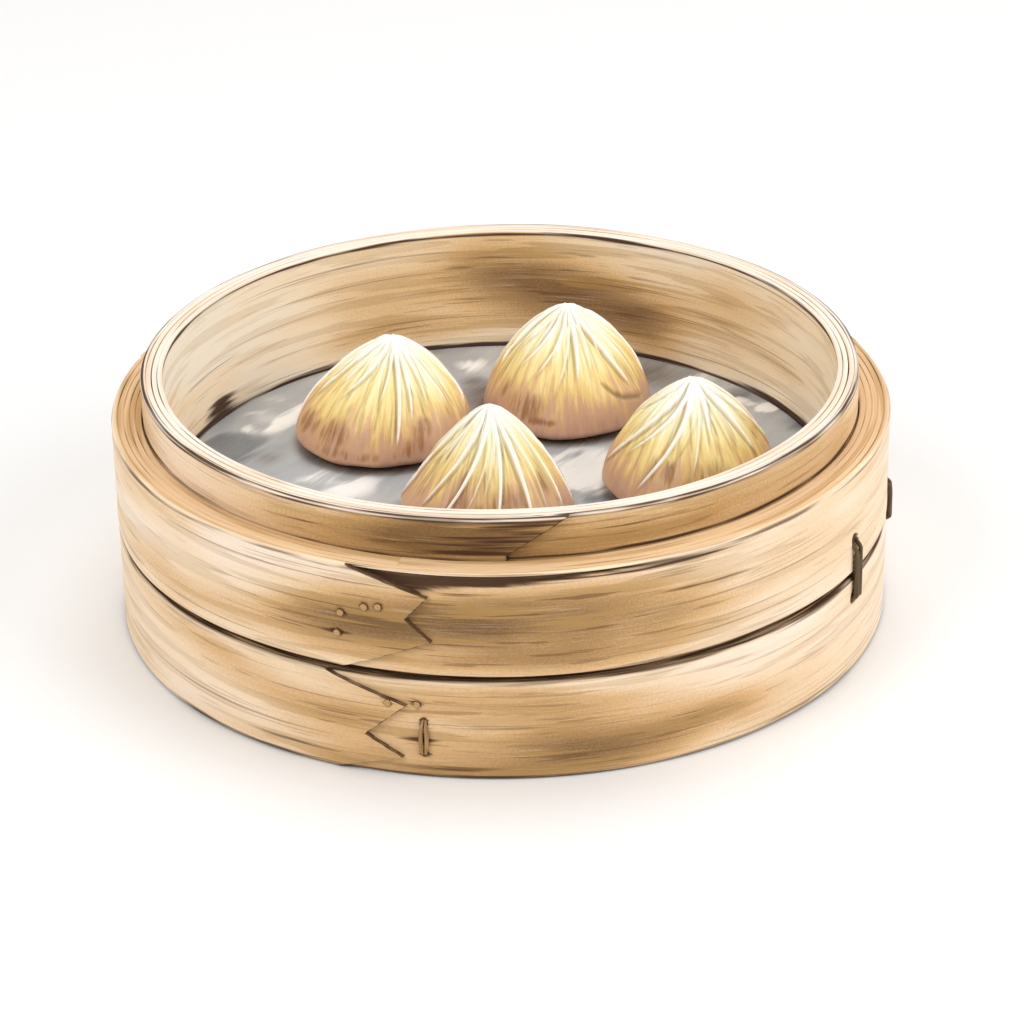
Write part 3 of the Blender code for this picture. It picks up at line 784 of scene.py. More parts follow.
def bands(material):
    fine, middle, coarse = 0.3 * MM, 0.35 * MM, 0.8 * MM
    groove = (0.5 * MM, 0.55, True)
    upper = ((UPPER_LOW, 30 * MM, fine), (30 * MM, 48.5 * MM, coarse), (48.5 * MM, LEDGE_HEIGHT, middle))
    lower = ((0, 1.6 * MM, 0.4 * MM), (1.6 * MM, 24 * MM, coarse), (24 * MM, LOWER_TOP, fine))
    band(
        "upper", 11, UPPER_LOW, LEDGE_HEIGHT, upper, UPPER_SEAM, UPPER_OUTLINE, UPPER_PEGS,
        UPPER_RINGS, UPPER_STROKES, material, recess=True, stains=UPPER_STAINS,
        # Dirt with painted shade in the groove between the bands, and painted shade under the ledge
        edge_grime=((UPPER_LOW, *groove), (LEDGE_HEIGHT - 0.75 * MM, 0.5 * MM, 0.5, False)),
    )
    band(
        "lower", 31, 0.0, LOWER_TOP, lower, LOWER_SEAM, LOWER_OUTLINE, LOWER_PEGS,
        LOWER_RINGS, LOWER_STROKES, material, stains=LOWER_STAINS,
        # Dirt with painted shade in the groove between the bands, and painted shade along the foot where
        # the basket meets the floor
        edge_grime=((LOWER_TOP, *groove), (0.0, 0.7 * MM, 0.8, False)),
    )


def hoop(layer, seed, inner, outer, levels, rounds, seam, outline, material, **looks):
    """One layer of the tall hoop, with one groove in the middle of its cut edges."""
    joints = [(inner + outer) / 2]
    profile = ring_profile(inner, outer, HOOP_FOOT, RIM_HEIGHT, joints, *levels, rounds)
    wound_ring(
        f"hoop_{layer}_strip",
        [f"hoop_{layer}_ply"],
        material,
        "bamboo_hoop",
        profile,
        seam,
        outline,
        HOOP_COLUMNS,
        seed=seed,
        joint_dirt=0.95,
        edge_sway=0.12 * MM,
        **looks,
    )


def hoops(outer_material, inner_material):
    middle = RIM_RADIUS - PLY
    shown = LEDGE_HEIGHT + MM
    hidden = spaced((HOOP_FOOT, RIM_HEIGHT, 8 * MM))
    outside = spaced(
        (HOOP_FOOT, 25 * MM, 3 * MM),
        (25 * MM, 29 * MM, MM),
        (29 * MM, shown, 4 * MM),
        (shown - 2 * MM, RIM_HEIGHT, 0.4 * MM),
    )
    hoop(
        "outer", 51, middle, RIM_RADIUS, (outside, hidden), (EDGE_ROUND, THIN_ROUND),
        HOOP_SEAM, HOOP_OUTLINE, outer_material, relief=0.09 * MM, sway=0.1 * MM, skin_dirt=0.95,
        # Painted shade where the hoop stands on the ledge, and a dark line just under the rim
        edge_grime=(
            (LEDGE_HEIGHT, 0.4 * MM, 0.7, False),
            (RIM_HEIGHT - 0.9 * MM, 0.3 * MM, 0.8, False),
        ),
        stains=HOOP_STAINS, strokes=HOOP_STROKES, past_end=0.7,
    )
    inside = spaced(
        (HOOP_FOOT, PLATE_LOW, 4 * MM),
        (PLATE_LOW, PLATE_TOP + 4 * MM, 0.4 * MM),
        (PLATE_TOP + 4 * MM, RIM_HEIGHT, 1.1 * MM),
        (RIM_HEIGHT - 2 * MM, RIM_HEIGHT, 0.3 * MM),
    )
    hoop(
        "inner", 71, INSIDE_RADIUS, middle - GAP, (hidden, inside), (THIN_ROUND, 0.5 * MM),
        INNER_SEAM, INNER_OUTLINE, inner_material, relief=0.05 * MM, sway=0.0, step=0.0,
        # A painted shadow along the wall's foot on the plate, and a dark line just under the rim
        inner_grime=((PLATE_TOP, 0.95 * MM, 1.0), (RIM_HEIGHT - 0.85 * MM, 0.38 * MM, 0.9)),
        stains=WALL_STAINS, strokes=WALL_STROKES,
    )


# The floor


def lath(node, material, relief, shade, seed):
    """A slat or batten: a rounded rectangle swept along a lath, with its two ends rounded over.

    The section is cos and sin each raised to a low power, so it is a square with round corners.
    The ends draw in by the same power law, and slow waves bend the edges.
    """
    low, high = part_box(node)
    centre = np.array([(low.x + high.x) / 2, (low.y + high.y) / 2, (low.z + high.z) / 2])
    half = np.array([high.x - low.x, high.y - low.y, high.z - low.z]) / 2
    lengthwise = 0 if half[0] > half[1] else 1
    sideways = 1 - lengthwise
    turn = turns(LATH_COLUMNS)
    across = np.sign(np.cos(turn)) * abs(np.cos(turn)) ** LATH_SQUARE
    upward = np.sign(np.sin(turn)) * abs(np.sin(turn)) ** LATH_SQUARE
    tip = 1 - LATH_ROUND / half[lengthwise]
    body = np.linspace(-tip, tip, 56)
    cap = np.radians(np.array([15, 40, 65, 82]))
    ends = tip + (1 - tip) * np.sin(cap)
    place = np.concatenate([-ends[::-1], body, ends])[:, None]
    thin = LATH_ROUND * (1 - np.cos(cap))
    inset = np.concatenate([thin[::-1], 0 * body, thin])[:, None]
    along = place * half[lengthwise]
    bend = LATH_BEND * np.sign(across) * waves(seed, 6, along, 0 * across, (5, 30), (0, 1))
    wide = (half[sideways] - inset) * across + bend * (inset == 0)
    grain = relief * waves(seed + 1, 20, along, wide, (4, 20), (200, 900))
    tall = (half[2] - inset) * upward + grain
    points = np.zeros((len(place), LATH_COLUMNS, 3))
    points[..., lengthwise] = centre[lengthwise] + along
    points[..., sideways] = centre[sideways] + wide
    points[..., 2] = centre[2] + tall
    flat, faces = shell(points, middles(points), outwards=lengthwise == 1)
    near_end = np.broadcast_to(abs(place) > tip, points.shape[:2])
    zero = np.zeros(len(flat))
    piece(
        f"{node}_lath", flat, faces, material, "bamboo_floor", [node],
        strip=along_strip((along, wide, tall), (seed, 0)), cut=np.append(near_end, [1, 1]).astype(float),
        dirt=zero, worn=zero, shade=zero + shade,
    )


def laths(material):
    for index in range(1, SLATS + 1):
        shade = 0.25 + 0.2 * math.sin(index * 2.3)
        lath(f"slat_{index}", material, 0.05 * MM, shade, 100 + index)
    for index in range(1, BATTENS + 1):
        lath(f"batten_{index}", material, 0.08 * MM, 0.35, 130 + index)


def round_marks(x, y, spots):
    """Round marks: each adds its strength times exp(-(distance / half width) to its own power)."""
    total = 0 * x * y
    for place_x, place_y, width, strength, crisp in spots:
        near = np.hypot(x - place_x * MM, y - place_y * MM) / (width * MM)
        total += strength * np.exp(-(near**crisp))
    return np.clip(total, 0, 1)


def plate(material):
    """The liner plate: a thin disc whose height follows slow waves, with a rounded edge.

    Rows run from the middle of its top out to the edge and back to the middle underneath.
    """
    lip = (PLATE_TOP - PLATE_LOW) / 2
    flat_radius = PLATE_RADIUS - lip
    out = np.linspace(2 * MM, flat_radius, 90)
    back = np.linspace(flat_radius, 2 * MM, 20)
    round_by = np.radians(np.linspace(70, -70, 5))
    radius = np.concatenate([out, flat_radius + lip * np.cos(round_by), back])[:, None]
    edge = PLATE_LOW + lip + lip * np.sin(round_by)
    height = np.concatenate([0 * out + PLATE_TOP, edge, 0 * back + PLATE_LOW])[:, None]
    turn = turns(PLATE_COLUMNS)
    x = radius * np.sin(turn)
    y = -radius * np.cos(turn)
    slow = waves(5, 12, x, y, (12, 42), (12, 42))
    calm = ease(PLATE_RADIUS - radius, 0, 6 * MM)
    points = round_axis(radius, turn, height + 0.13 * MM * slow * calm)
    flat, faces = shell(points, [[AXIS_X, AXIS_Y, PLATE_TOP], [AXIS_X, AXIS_Y, PLATE_LOW]])
    # Brown marks of soup with painted reflection and painted shadow, and painted pale and dark reflections
    spots = {"soup": SOUP_MARKS, "pale": PALE_MARKS, "dark": DARK_MARKS}
    seen = {key: np.append(round_marks(x, y, value), [0, 0]) for key, value in spots.items()}
    piece("liner_plate_sheet", flat, faces, material, "plate", ["liner_plate"], **seen)


# Stitches and pegs


def strip_drop(past):
    """How far a band's surface lies under its full radius, this angle past the strip's end."""
    return STRIP_STEP * max(0.0, 1 - past / STRIP_TAPER) if past >= 0 else 0.0


def strand(node, azimuth, sideways, low, high, surface, size, material, slot):
    """One cane strand: a flattened tube carried along a path in an upright plane.

    The path rises out of the band by a smooth step at each end and runs down the outer side. The
    strand thins towards its ends. The two strands of a dark stitch part at the top like a V, and
    those of the pale one bow apart in the middle.
    """
    name = f"{node}_cane"
    thick = STRAND_RADIUS * size
    share = np.linspace(0, 1, 64)
    z = high - share * (high - low)
    raised = ease(share, 0, 0.2) * ease(1 - share, 0, 0.1)
    sunk = 1.2 * MM * size
    x = surface - sunk + raised * (sunk + 0.5 * GAP + thick)
    if slot == "cane_dark":
        side = sideways * (1 + 0.7 * (1 - ease(share, 0, 0.35)))
        full = 0.62 + 0.48 * ease(share, 0, 0.4)
    else:
        bow = np.sin(math.pi * share)
        side = sideways * (0.45 + 0.75 * bow)
        full = 0.5 + 0.5 * bow
    tangent = np.stack([np.gradient(x), np.gradient(z)], -1)
    tangent /= np.linalg.norm(tangent, axis=1)[:, None]
    turn = turns(STRAND_COLUMNS)
    lumps = 1 + 0.03 * swell(len(name), 3, turn + 60 * z[:, None], (2, 5))
    flat_out = thick * 0.85 * full[:, None] * np.sin(turn) * lumps
    flat_side = thick * full[:, None] * np.cos(turn) * lumps
    away = x[:, None] - flat_out * tangent[:, 1:]
    up = z[:, None] + flat_out * tangent[:, :1]
    points = beside_axis(azimuth, away, side[:, None] + flat_side, up)
    flat, faces = shell(points, middles(points), outwards=False)
    strip = along_strip((z[:, None], thick * turn, 0 * turn), (azimuth, sideways * 900))
    piece(name, flat, faces, material, slot, [node], strip=strip)


def stitches(materials):
    for name, azimuth, low, high, size, slot in STITCHES:
        surface = BASKET_RADIUS - strip_drop(math.radians(azimuth - LOWER_SEAM))
        half = (STRAND_RADIUS + GAP / 2) * size
        for letter, sideways in (("a", -half), ("b", half)):
            node = f"{name}_{letter}"
            strand(node, azimuth, sideways, low, high, surface, size, materials[slot], slot)


def peg(node, azimuth, height, surface, material):
    """A round peg: rows run from the middle of its domed end out, and back along its side."""
    share = np.array(PEG_SHARES)
    ring = np.concatenate([share, [1, 1, 1]])[:, None]
    radius = ring * PEG_RADIUS
    dome = 0.16 * MM * (1 - share**2.5) - 0.05 * MM * (1 - share)
    tip = surface + PEG_PROUD
    foot = tip - PEG_DEPTH
    out = np.concatenate([tip + dome, [tip - 0.3 * MM, tip - 1.2 * MM, foot]])[:, None]
    turn = turns(PEG_COLUMNS)
    uneven = 1 + 0.05 * swell(int(height / MM * 10), 3, turn, (2, 5))
    across, up = radius * uneven * np.cos(turn), radius * uneven * np.sin(turn)
    points = beside_axis(azimuth, out, across, height + up)
    poles = [beside_axis(azimuth, end, 0, height) for end in (tip + PEG_TIP, foot)]
    flat, faces = shell(points, poles)
    rings = np.append(np.broadcast_to(ring, points.shape[:2]), [0, 1])
    piece(f"{node}_round", flat, faces, material, "peg", [node], ring=rings)


def pegs(material):
    for prefix, places, seam, outline in (
        ("peg_upper", UPPER_PEGS, UPPER_SEAM, UPPER_OUTLINE),
        ("peg_lower", LOWER_PEGS, LOWER_SEAM, LOWER_OUTLINE),
    ):
        for index, (azimuth, height) in enumerate(places, 1):
            past = math.radians(azimuth - seam) if azimuth > end_at(outline, height) else -1
            peg(f"{prefix}_{index}", azimuth, height, BASKET_RADIUS - strip_drop(past), material)


# Dumplings


def bag_radius(share, radius, domed):
    """The bag's radius at a share of its height.

    It is the radius times (1 - share to the power domed) to the power of the fullness, and it
    tucks in at the foot by the square of the distance under the foot's share.
    """
    dome = (1 - np.clip(share, 0, 1) ** domed) ** DOME_FULLNESS
    tuck = FOOT_TUCK * np.clip(1 - share / FOOT_SHARE, 0, None) ** 2
    return radius * dome * (1 - tuck)


def folds_of(node, seed):
    """The drawn folds of a dumpling, and made-up ones round its back."""
    draw = np.random.default_rng(seed)
    behind = np.linspace(122, 238, BACK_FOLDS) + draw.uniform(-4, 4, BACK_FOLDS)
    made = [
        (place, place + draw.uniform(-14, 14), draw.uniform(0.08, 0.5), draw.uniform(0.55, 1.0))
        for place in behind
    ]
    return (*FOLDS[node], *made)


def apart(angle, place):
    """The angle from a place, brought between minus and plus half a turn."""
    return (angle - place + math.pi) % TURN - math.pi


def pleats(node, share, angle, here, seed):
    """How far the folds stand up and the creases sink at each point of a dumpling, from 0 to 1.

    Each fold is a thin ridge of bell-shaped section: its azimuth goes evenly from its low value to
    its top one, and it rises over a short stretch at its low end. The folds are joined by taking
    the highest, which leaves sharp valleys where they crowd near the point. Beside each runs a
    shallow crease, and fine creases lie between.
    """
    draw = np.random.default_rng(seed)
    ridge = np.zeros((len(share), angle.shape[1]))
    crease = ridge.copy()
    folds = folds_of(node, seed)
    crowd = 0.42 * TURN * here / len(folds)
    for top, low_place, low, strength in folds:
        rise = np.clip((share - low) / (FOLD_TOP - low), 0, 1)
        place = np.radians(low_place + (top - low_place) * rise)
        away = apart(angle, place) * here
        width = FOLD_WIDTH * draw.uniform(0.85, 1.2) * (0.7 + 0.5 * strength)
        width = np.minimum(width * (1 - FOLD_TAPER * (1 - rise) ** 2), crowd)
        begun = ease(share, low - 0.04, low + 0.2)
        ridge = np.maximum(ridge, strength * begun * bump_at(away, 0, width))
        side = draw.choice((-1, 1)) * 1.75 * width
        crease = np.maximum(crease, strength * begun * bump_at(away, side, 0.6 * width))
    for _ in range(SMALL_FOLDS):
        low = draw.uniform(0.4, 0.72)
        place = draw.uniform(0, TURN) + draw.uniform(-0.5, 0.5) * (FOLD_TOP - share)
        away = apart(angle, place) * here
        begun = ease(share, low, low + 0.16)
        thin = np.minimum(0.7 * FOLD_WIDTH, 0.7 * crowd)
        ridge = np.maximum(ridge, draw.uniform(0.35, 0.6) * begun * bump_at(away, 0, thin))
    for _ in range(FINE_CREASES):
        low = draw.uniform(0.22, 0.6)
        place = draw.uniform(0, TURN) + draw.uniform(-0.25, 0.25) * (FOLD_TOP - share)
        away = apart(angle, place) * here
        seen = ease(share, low, low + 0.08) * (1 - ease(share, low + 0.15, low + 0.42))
        thin = np.minimum(0.26 * MM, 0.6 * crowd)
        crease = np.maximum(crease, draw.uniform(0.5, 1.0) * seen * bump_at(away, 0, thin))
    return ridge, crease


def tuck(share, angle, height):
    """The long crease low on the back dumpling, and the bulge of dough above it."""
    facing = np.degrees(angle)
    start, end = TUCK[0][0], TUCK[0][-1]
    within = ease(facing, start - 3, start + 4) * (1 - ease(facing, end, end + 8))
    above = (share - np.interp(facing, *TUCK)) * height
    line = bump_at(above, 0, 0.55 * MM) * within
    return line, 0.5 * MM * within * bump_at(above, 1.6 * MM, 1.5 * MM)


def dumpling(entry, material, seed):
    """A bag of dough drawn up into thin folds that meet in a point.

    The bag's outline is turned about its axis, made a little uneven and leant over at the point.
    Folds, creases and slow waves are added at right angles to it.
    """
    node, foot, radius, height, domed, lean, slack = entry
    radius, height = radius * MM, height * MM
    shares = 1 - np.linspace(0, 1, BAG_ROWS)[1:] ** 1.25
    share = np.concatenate([shares[:-1], [0.012, 0.004, 0.0]])[:, None]
    angle = turns(BAG_COLUMNS, -math.pi)
    here = bag_radius(share, radius, domed)
    ridge, crease = pleats(node, share, angle, here, seed)
    bulge = 0.0
    if node == "dumpling_back":
        line, bulge = tuck(share, angle, height)
        crease = np.maximum(crease, 1.3 * line)
    top = ease(here / radius, 0.02, 0.2)
    lift = np.minimum(FOLD_HEIGHT, 0.24 * here) * ridge - CREASE_DEPTH * crease * top + bulge
    soft = 0.16 * MM * waves(seed + 2, 16, angle * radius, share * height, (20, 90), (20, 90))
    low_waves = swell(seed + 2, 3, angle, (2, 7)) * bump_at(share, 0.12, 0.16)
    lift = lift + soft * ease(here / radius, 0.1, 0.5) + 0.35 * MM * low_waves
    lower = bag_radius(share - SLOPE_STEP, radius, domed)
    steep = (np.where(share > SLOPE_STEP, lower, here) - here) / (SLOPE_STEP * height)
    outward = 1 / np.hypot(1, steep)
    uneven = 0.012 * np.sin(2 * angle + seed) + 0.008 * np.sin(3 * angle + 2 * seed)
    drawn_in = slack * 4 * share * (1 - share) * bump_at(apart(angle, -math.pi / 2), 0, 0.9)
    reach = here * (1 + uneven - drawn_in) + lift * outward
    base = PLATE_TOP + GAP
    foot_x, foot_y = AXIS_X + foot[0] * MM, AXIS_Y + foot[1] * MM
    x = foot_x + reach * np.sin(angle) + lean[0] * MM * share
    y = foot_y - reach * np.cos(angle) + lean[1] * MM * share
    z = np.maximum(base + share * height + lift * steep * outward * (share > SLOPE_STEP), base)
    tip = [foot_x + lean[0] * MM, foot_y + lean[1] * MM, base + height]
    flat, faces = shell(np.stack([x, y, z], -1), [tip, [foot_x, foot_y, base]])
    swirl = np.stack(np.broadcast_arrays(angle, share, 0 * angle), -1).reshape(-1, 3)
    # The ridges carry painted highlights, the creases painted shade, and the brown marks soup with painted
    # shade
    piece(
        f"{node}_dough", flat, faces, material, "dough", [node], sharp=75,
        ridge=np.append(ridge, [1, 0]),
        valley=np.append(np.clip(crease, 0, 1) * ease(here / radius, 0, 0.1), [0, 0]),
        rise=np.append(np.broadcast_to(share, ridge.shape), [1, 0]),
        brown=np.append(marks(angle, share, BROWNED[node]), [0, 0]),
        swirl=np.concatenate([swirl, [[0, 1, 0], [0, 0, 0]]]),
    )


# Materials


def fill(made, inputs):
    """Sets a node's inputs, and links those whose value is a socket."""
    for key, value in inputs.items():
        if isinstance(value, bpy.types.NodeSocket):
            made.id_data.links.new(value, made.inputs[key])
        else:
            made.inputs[key].default_value = value


def add_node(owner, kind, inputs, **settings):
    """A shader node in the same material as the owner, which is a socket or a node."""
    made = owner.id_data.nodes.new(kind)
    for key, value in settings.items():
        setattr(made, key, value)
    fill(made, inputs)
    return made


def graph(name):
    material = bpy.data.materials.new(name)
    material.use_nodes = True
    return material, material.node_tree.nodes["Principled BSDF"]


def read(shader, name, output="Fac"):
    return add_node(shader, "ShaderNodeAttribute", {}, attribute_name=name).outputs[output]


def object_place(shader):
    return add_node(shader, "ShaderNodeTexCoord", {}).outputs["Object"]


def noise(vector, stretch, detail=4.0, rough=0.55, bend=0.0):
    """Noise over a vector that is stretched first, so that its spots become streaks."""
    placed = add_node(vector, "ShaderNodeMapping", {"Vector": vector, "Scale": stretch})
    inputs = {"Vector": placed.outputs[0], "Scale": 1.0, "Detail": detail, "Roughness": rough}
    inputs["Distortion"] = bend
    return add_node(vector, "ShaderNodeTexNoise", inputs).outputs["Fac"]


def spread(value, low, high, bottom=0.0, top=1.0):
    """The value's smooth rise from bottom to top as it goes from low to high."""
    inputs = {"Value": value, "From Min": low, "From Max": high, "To Min": bottom, "To Max": top}
    made = add_node(value, "ShaderNodeMapRange", inputs, interpolation_type="SMOOTHSTEP")
    return made.outputs[0]


def centred(value, low, high, gain):
    """The value's rise from low to high, moved to lie around 0 and scaled."""
    return spread(value, low, high, -gain / 2, gain / 2)


def ramp(factor, stops):
    """A colour that follows the factor through stops of (place, colour)."""
    made = add_node(factor, "ShaderNodeValToRGB", {"Fac": factor})
    elements = made.color_ramp.elements
    elements[0].position, elements[0].color = stops[0][0], (*tone(stops[0][1]), 1)
    elements[1].position, elements[1].color = stops[-1][0], (*tone(stops[-1][1]), 1)
    for place, code in stops[1:-1]:
        elements.new(place).color = (*tone(code), 1)
    return made.outputs["Color"]


def layered(colour, *layers):
    """A colour with others mixed over it in turn, each by its own factor.

    Each colour is a socket or an sRGB code.
    """
    for factor, over in layers:
        inputs = {0: factor}
        for key, value in ((6, colour), (7, over)):
            inputs[key] = (*tone(value), 1) if isinstance(value, str) else value
        colour = add_node(factor, "ShaderNodeMix", inputs, data_type="RGBA").outputs[2]
    return colour


def times(first, second):
    return add_node(first, "ShaderNodeMath", {0: first, 1: second}, operation="MULTIPLY").outputs[0]


def plus(first, second):
    return add_node(first, "ShaderNodeMath", {0: first, 1: second}, operation="ADD").outputs[0]


def bump(height, distance, strength=1.0):
    inputs = {"Height": height, "Distance": distance, "Strength": strength}
    return add_node(height, "ShaderNodeBump", inputs).outputs[0]


def bamboo(name, ground, edges, soil, gain=1.0):
    """Bare bamboo strip: a ground that darkens with the painted shade, fine fibres, brushed olive
    strokes and short dark dashes that grow stronger with the painted shade, hair lines along it,
    layered cut edges, a paler upper corner that is wear with a painted highlight, and dirt with
    painted shade in grooves and gaps."""
    material, shader = graph(name)
    strip = read(shader, "strip", "Vector")
    shade = read(shader, "shade")
    dirt = read(shader, "dirt")
    fibre = noise(strip, (42, 2300, 1), 5, 0.68)
    stroke = noise(strip, (19, 330, 1), 2, 0.42, 0.2)
    dash = noise(strip, (36, 820, 1), 2, 0.5, 0.15)
    hair = noise(strip, (8, 1000, 1), 2, 0.5, 0.1)
    cloud = noise(strip, (13, 60, 1), 2, 0.5)
    speck = noise(strip, (1500, 1500, 1), 2, 0.6)
    # The painted shade darkens the ground and strengthens the strokes and dashes
    amount = plus(times(shade, 0.82 * gain), 0.17)
    amount = plus(amount, centred(cloud, 0.34, 0.66, 0.28))
    amount = plus(amount, centred(speck, 0.3, 0.7, 0.08))
    brushed = plus(times(shade, 0.62), 0.19)
    dashed = plus(times(shade, 0.7), 0.16)
    edge = layered(
        edges[0],
        (spread(stroke, 0.48, 0.62, 0.0, 0.75), edges[1]),
        (spread(fibre, 0.5, 0.36, 0.0, 0.4), edges[1]),
    )
    # The upper outer corner is painted paler: wear with a painted highlight
    rubbed = times(read(shader, "worn"), spread(dash, 0.35, 0.6, 0.9, 0.4))
    # Dirt with painted shade, broken up by the dashes
    soiled = plus(dirt, times(centred(dash, 0.36, 0.64, 0.5), spread(dirt, 0.0, 0.3)))
    colour = layered(
        ramp(amount, ground),
        (times(spread(stroke, 0.52, 0.57), brushed), STROKES[0]),
        (times(spread(dash, 0.6, 0.65), dashed), STROKES[1]),
        (spread(hair, 0.64, 0.675, 0.0, 0.45), STROKES[2]),
        (spread(fibre, 0.55, 0.68, 0.0, 0.22), ground[0][1]),
        (spread(fibre, 0.44, 0.33, 0.0, 0.26), STROKES[0]),
        (times(read(shader, "cut"), 0.94), edge),
        (rubbed, edges[2]),
        (spread(soiled, 0.06, 0.85, 0.0, 0.97), soil),
    )
    fill(shader, {
        "Base Color": colour,
        "Roughness": spread(fibre, 0.3, 0.7, 0.78, 0.6),
        "Specular IOR Level": 0.15,
        "Normal": bump(plus(times(fibre, 0.6), times(stroke, 0.4)), 0.25 * MM, 0.6),
    })
    return material


def cane(name, stops):
    """Split cane: fine dark and pale fibres along the strand."""
    material, shader = graph(name)
    strip = read(shader, "strip", "Vector")
    fibre = noise(strip, (70, 3200, 1), 4, 0.6)
    blotch = noise(strip, (240, 500, 1), 3, 0.5)
    colour = ramp(plus(times(fibre, 0.7), times(blotch, 0.35)), stops)
    fill(shader, {"Base Color": colour, "Roughness": 0.55, "Normal": bump(fibre, 0.2 * MM)})
    return material


def peg_wood():
    """The end of a bamboo peg: dark pores in a paler round, with a darker rim that is painted shade in
    the gap round the peg.
    """
    material, shader = graph("peg_end_grain")
    pores = noise(object_place(shader), (3800, 3800, 3800), 3, 0.6)
    # Painted shade in the gap round the peg
    rim = spread(read(shader, "ring"), 0.84, 1.0)
    colour = layered(ramp(pores, PEG_WOOD), (times(rim, 0.9), PEG_RIM))
    fill(shader, {"Base Color": colour, "Roughness": 0.6, "Normal": bump(pores, 0.1 * MM)})
    return material


def plate_metal():
    """Thin wet metal: soft sweeps and pale and dark marks of painted reflection, and brown marks of
    soup, painted reflection and a painted shadow round each dumpling's foot.
    """
    material, shader = graph("plate_wet_metal")
    turn = {"Vector": object_place(shader), "Rotation": (0, 0, math.radians(-52))}
    turned = add_node(shader, "ShaderNodeMapping", turn).outputs[0]
    # Sweeping streaks of painted reflection, which also vary the roughness and the bump
    sweep = noise(turned, (30, 95, 20), 3, 0.5, 0.5)
    fine = noise(turned, (90, 1300, 60), 4, 0.6)
    patchy = centred(sweep, 0.4, 0.6, 0.7)
    dark = read(shader, "dark")
    pale = read(shader, "pale")
    dark = plus(dark, times(patchy, spread(dark, 0.0, 0.4)))
    pale = plus(pale, times(patchy, spread(pale, 0.0, 0.4)))
    # Soup, painted reflections of the dumplings and a painted shadow round each foot
    stained = times(read(shader, "soup"), spread(fine, 0.2, 0.7, 0.6, 1.0))
    colour = layered(
        ramp(sweep, PLATE_GREYS),
        (spread(dark, 0.15, 1.0, 0.0, 0.85), PLATE_DARK),
        (spread(pale, 0.3, 0.9), PLATE_PALE),
        (times(stained, 0.94), SOUP),
    )
    fill(shader, {
        "Base Color": colour,
        "Metallic": 0.08,
        "Roughness": spread(sweep, 0.3, 0.7, 0.42, 0.26),
        "Normal": bump(plus(sweep, times(fine, 0.06)), 0.8 * MM, 0.5),
    })
    return material


def dough():
    """Steamed dough: tan and see-through low down and yellow cream above, paler towards the top partly
    as painted light, with painted highlights along the fold ridges and round the foot, painted shade
    in the creases, and brown of soup with painted shade.
    """
    material, shader = graph("dough_steamed")
    place = object_place(shader)
    rise = read(shader, "rise")
    brown = read(shader, "brown")
    cloud = noise(place, (95, 95, 95), 3, 0.5)
    streak = noise(read(shader, "swirl", "Vector"), (11, 2.2, 1), 4, 0.6)
    fine = noise(place, (900, 900, 900), 3, 0.6)
    level = plus(rise, centred(streak, 0.32, 0.68, 0.3))
    level = plus(level, centred(cloud, 0.3, 0.7, 0.12))
    # Brown of soup showing through, with painted shade on the side away from the light
    browned = plus(brown, centred(streak, 0.36, 0.64, 0.8))
    browned = times(spread(browned, 0.1, 1.0), spread(brown, 0.05, 0.4))
    # Painted highlights along the fold ridges, stronger higher up
    white = times(spread(read(shader, "ridge"), 0.3, 0.72), spread(rise, 0.05, 0.4, 0.6, 1.0))
    colour = layered(
        # Tones from tan to white, paler to the top partly as painted light
        ramp(level, DOUGH_TONES),
        (times(browned, 0.85), DOUGH_BROWNED),
        # A painted highlight round the foot
        (times(spread(rise, 0.05, 0.0), 0.7), DOUGH_LIP),
        # Painted shade in the creases
        (times(read(shader, "valley"), 0.62), DOUGH_VALLEY),
        (times(white, 0.95), DOUGH_WHITE),
    )
    fill(shader, {
        "Base Color": colour,
        "Roughness": 0.42,
        "Subsurface Weight": 0.12,
        "Subsurface Radius": (1.0, 0.62, 0.35),
        "Subsurface Scale": 1.6 * MM,
        "Coat Weight": 0.12,
        "Coat Roughness": 0.25,
        "Normal": bump(plus(fine, streak), 0.12 * MM, 0.6),
    })
    return material


# The stage


def floor():
    half, level = FLOOR_HALF, -GAP
    corners = [(-half, -half, level), (half, -half, level), (half, half, level), (-half, half, level)]
    mesh = bpy.data.meshes.new("floor")
    mesh.from_pydata(corners, [], [(0, 1, 2, 3)])
    material, shader = graph("floor_pale")
    fill(shader, {"Base Color": (0.86, 0.855, 0.85, 1), "Roughness": 0.9})
    mesh.materials.append(material)
    linked("floor", mesh)


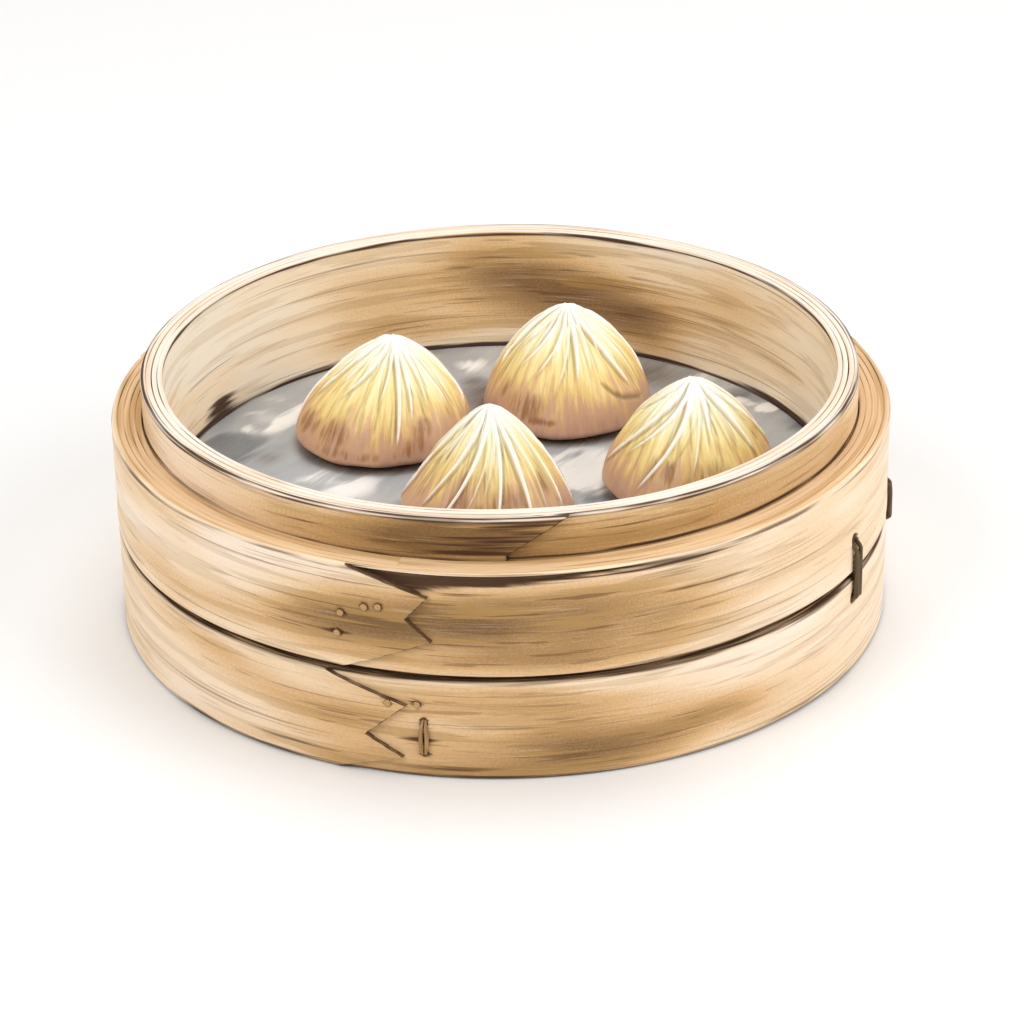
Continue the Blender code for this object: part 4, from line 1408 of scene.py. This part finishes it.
def aimed(name, data, place, aim, roll=0.0):
    """A lamp or camera at a place, turned to its aim and rolled by some degrees."""
    obj = linked(name, data)
    obj.location = place
    look = (Vector(aim) - Vector(place)).to_track_quat("-Z", "Y")
    obj.rotation_mode = "QUATERNION"
    obj.rotation_quaternion = look @ Quaternion((0, 0, 1), math.radians(roll))
    return obj


def studio():
    world = bpy.data.worlds.new("studio")
    world.use_nodes = True
    background = world.node_tree.nodes["Background"]
    background.inputs["Color"].default_value = (1, 1, 1, 1)
    background.inputs["Strength"].default_value = WORLD_LIGHT
    bpy.context.scene.world = world
    for name, place, size, power, colour in LAMPS:
        data = bpy.data.lights.new(name, "AREA")
        data.shape = "DISK"
        data.size = size
        data.energy = power
        data.color = colour
        aimed(name, data, place, LAMP_AIM)
    bpy.context.scene.view_settings.view_transform = "Standard"


def camera():
    data = bpy.data.cameras.new("camera")
    data.lens = CAMERA_LENS
    data.sensor_width = CAMERA_SENSOR
    rise = math.radians(CAMERA_ELEVATION)
    axis = Vector((AXIS_X, AXIS_Y, 0))
    back, up = CAMERA_DISTANCE * math.cos(rise), CAMERA_DISTANCE * math.sin(rise)
    place = axis + Vector((0, -back, CAMERA_HEIGHT + up))
    obj = aimed("camera", data, place, axis + Vector(CAMERA_TARGET), CAMERA_ROLL)
    bpy.context.scene.camera = obj


def main():
    camera()
    bands(bamboo("bamboo_band_strip", BAND_GROUND, TAN_EDGES, BAND_GRIME))
    hoop_wood = bamboo("bamboo_hoop_strip", HOOP_GROUND, CREAM_EDGES, HOOP_GRIME)
    wall_wood = bamboo("bamboo_hoop_inside", WALL_GROUND, CREAM_EDGES, WALL_GRIME, 0.9)
    hoops(hoop_wood, wall_wood)
    laths(bamboo("bamboo_lath", LATH_GROUND, LATH_EDGES, LATH_GRIME))
    plate(plate_metal())
    dark_cane = cane("cane_dark_fibre", DARK_CANE)
    stitches({"cane_dark": dark_cane, "cane_pale": cane("cane_pale_fibre", PALE_CANE)})
    pegs(peg_wood())
    skin = dough()
    for index, entry in enumerate(DUMPLINGS):
        dumpling(entry, skin, 200 + 10 * index)
    floor()
    studio()


main()
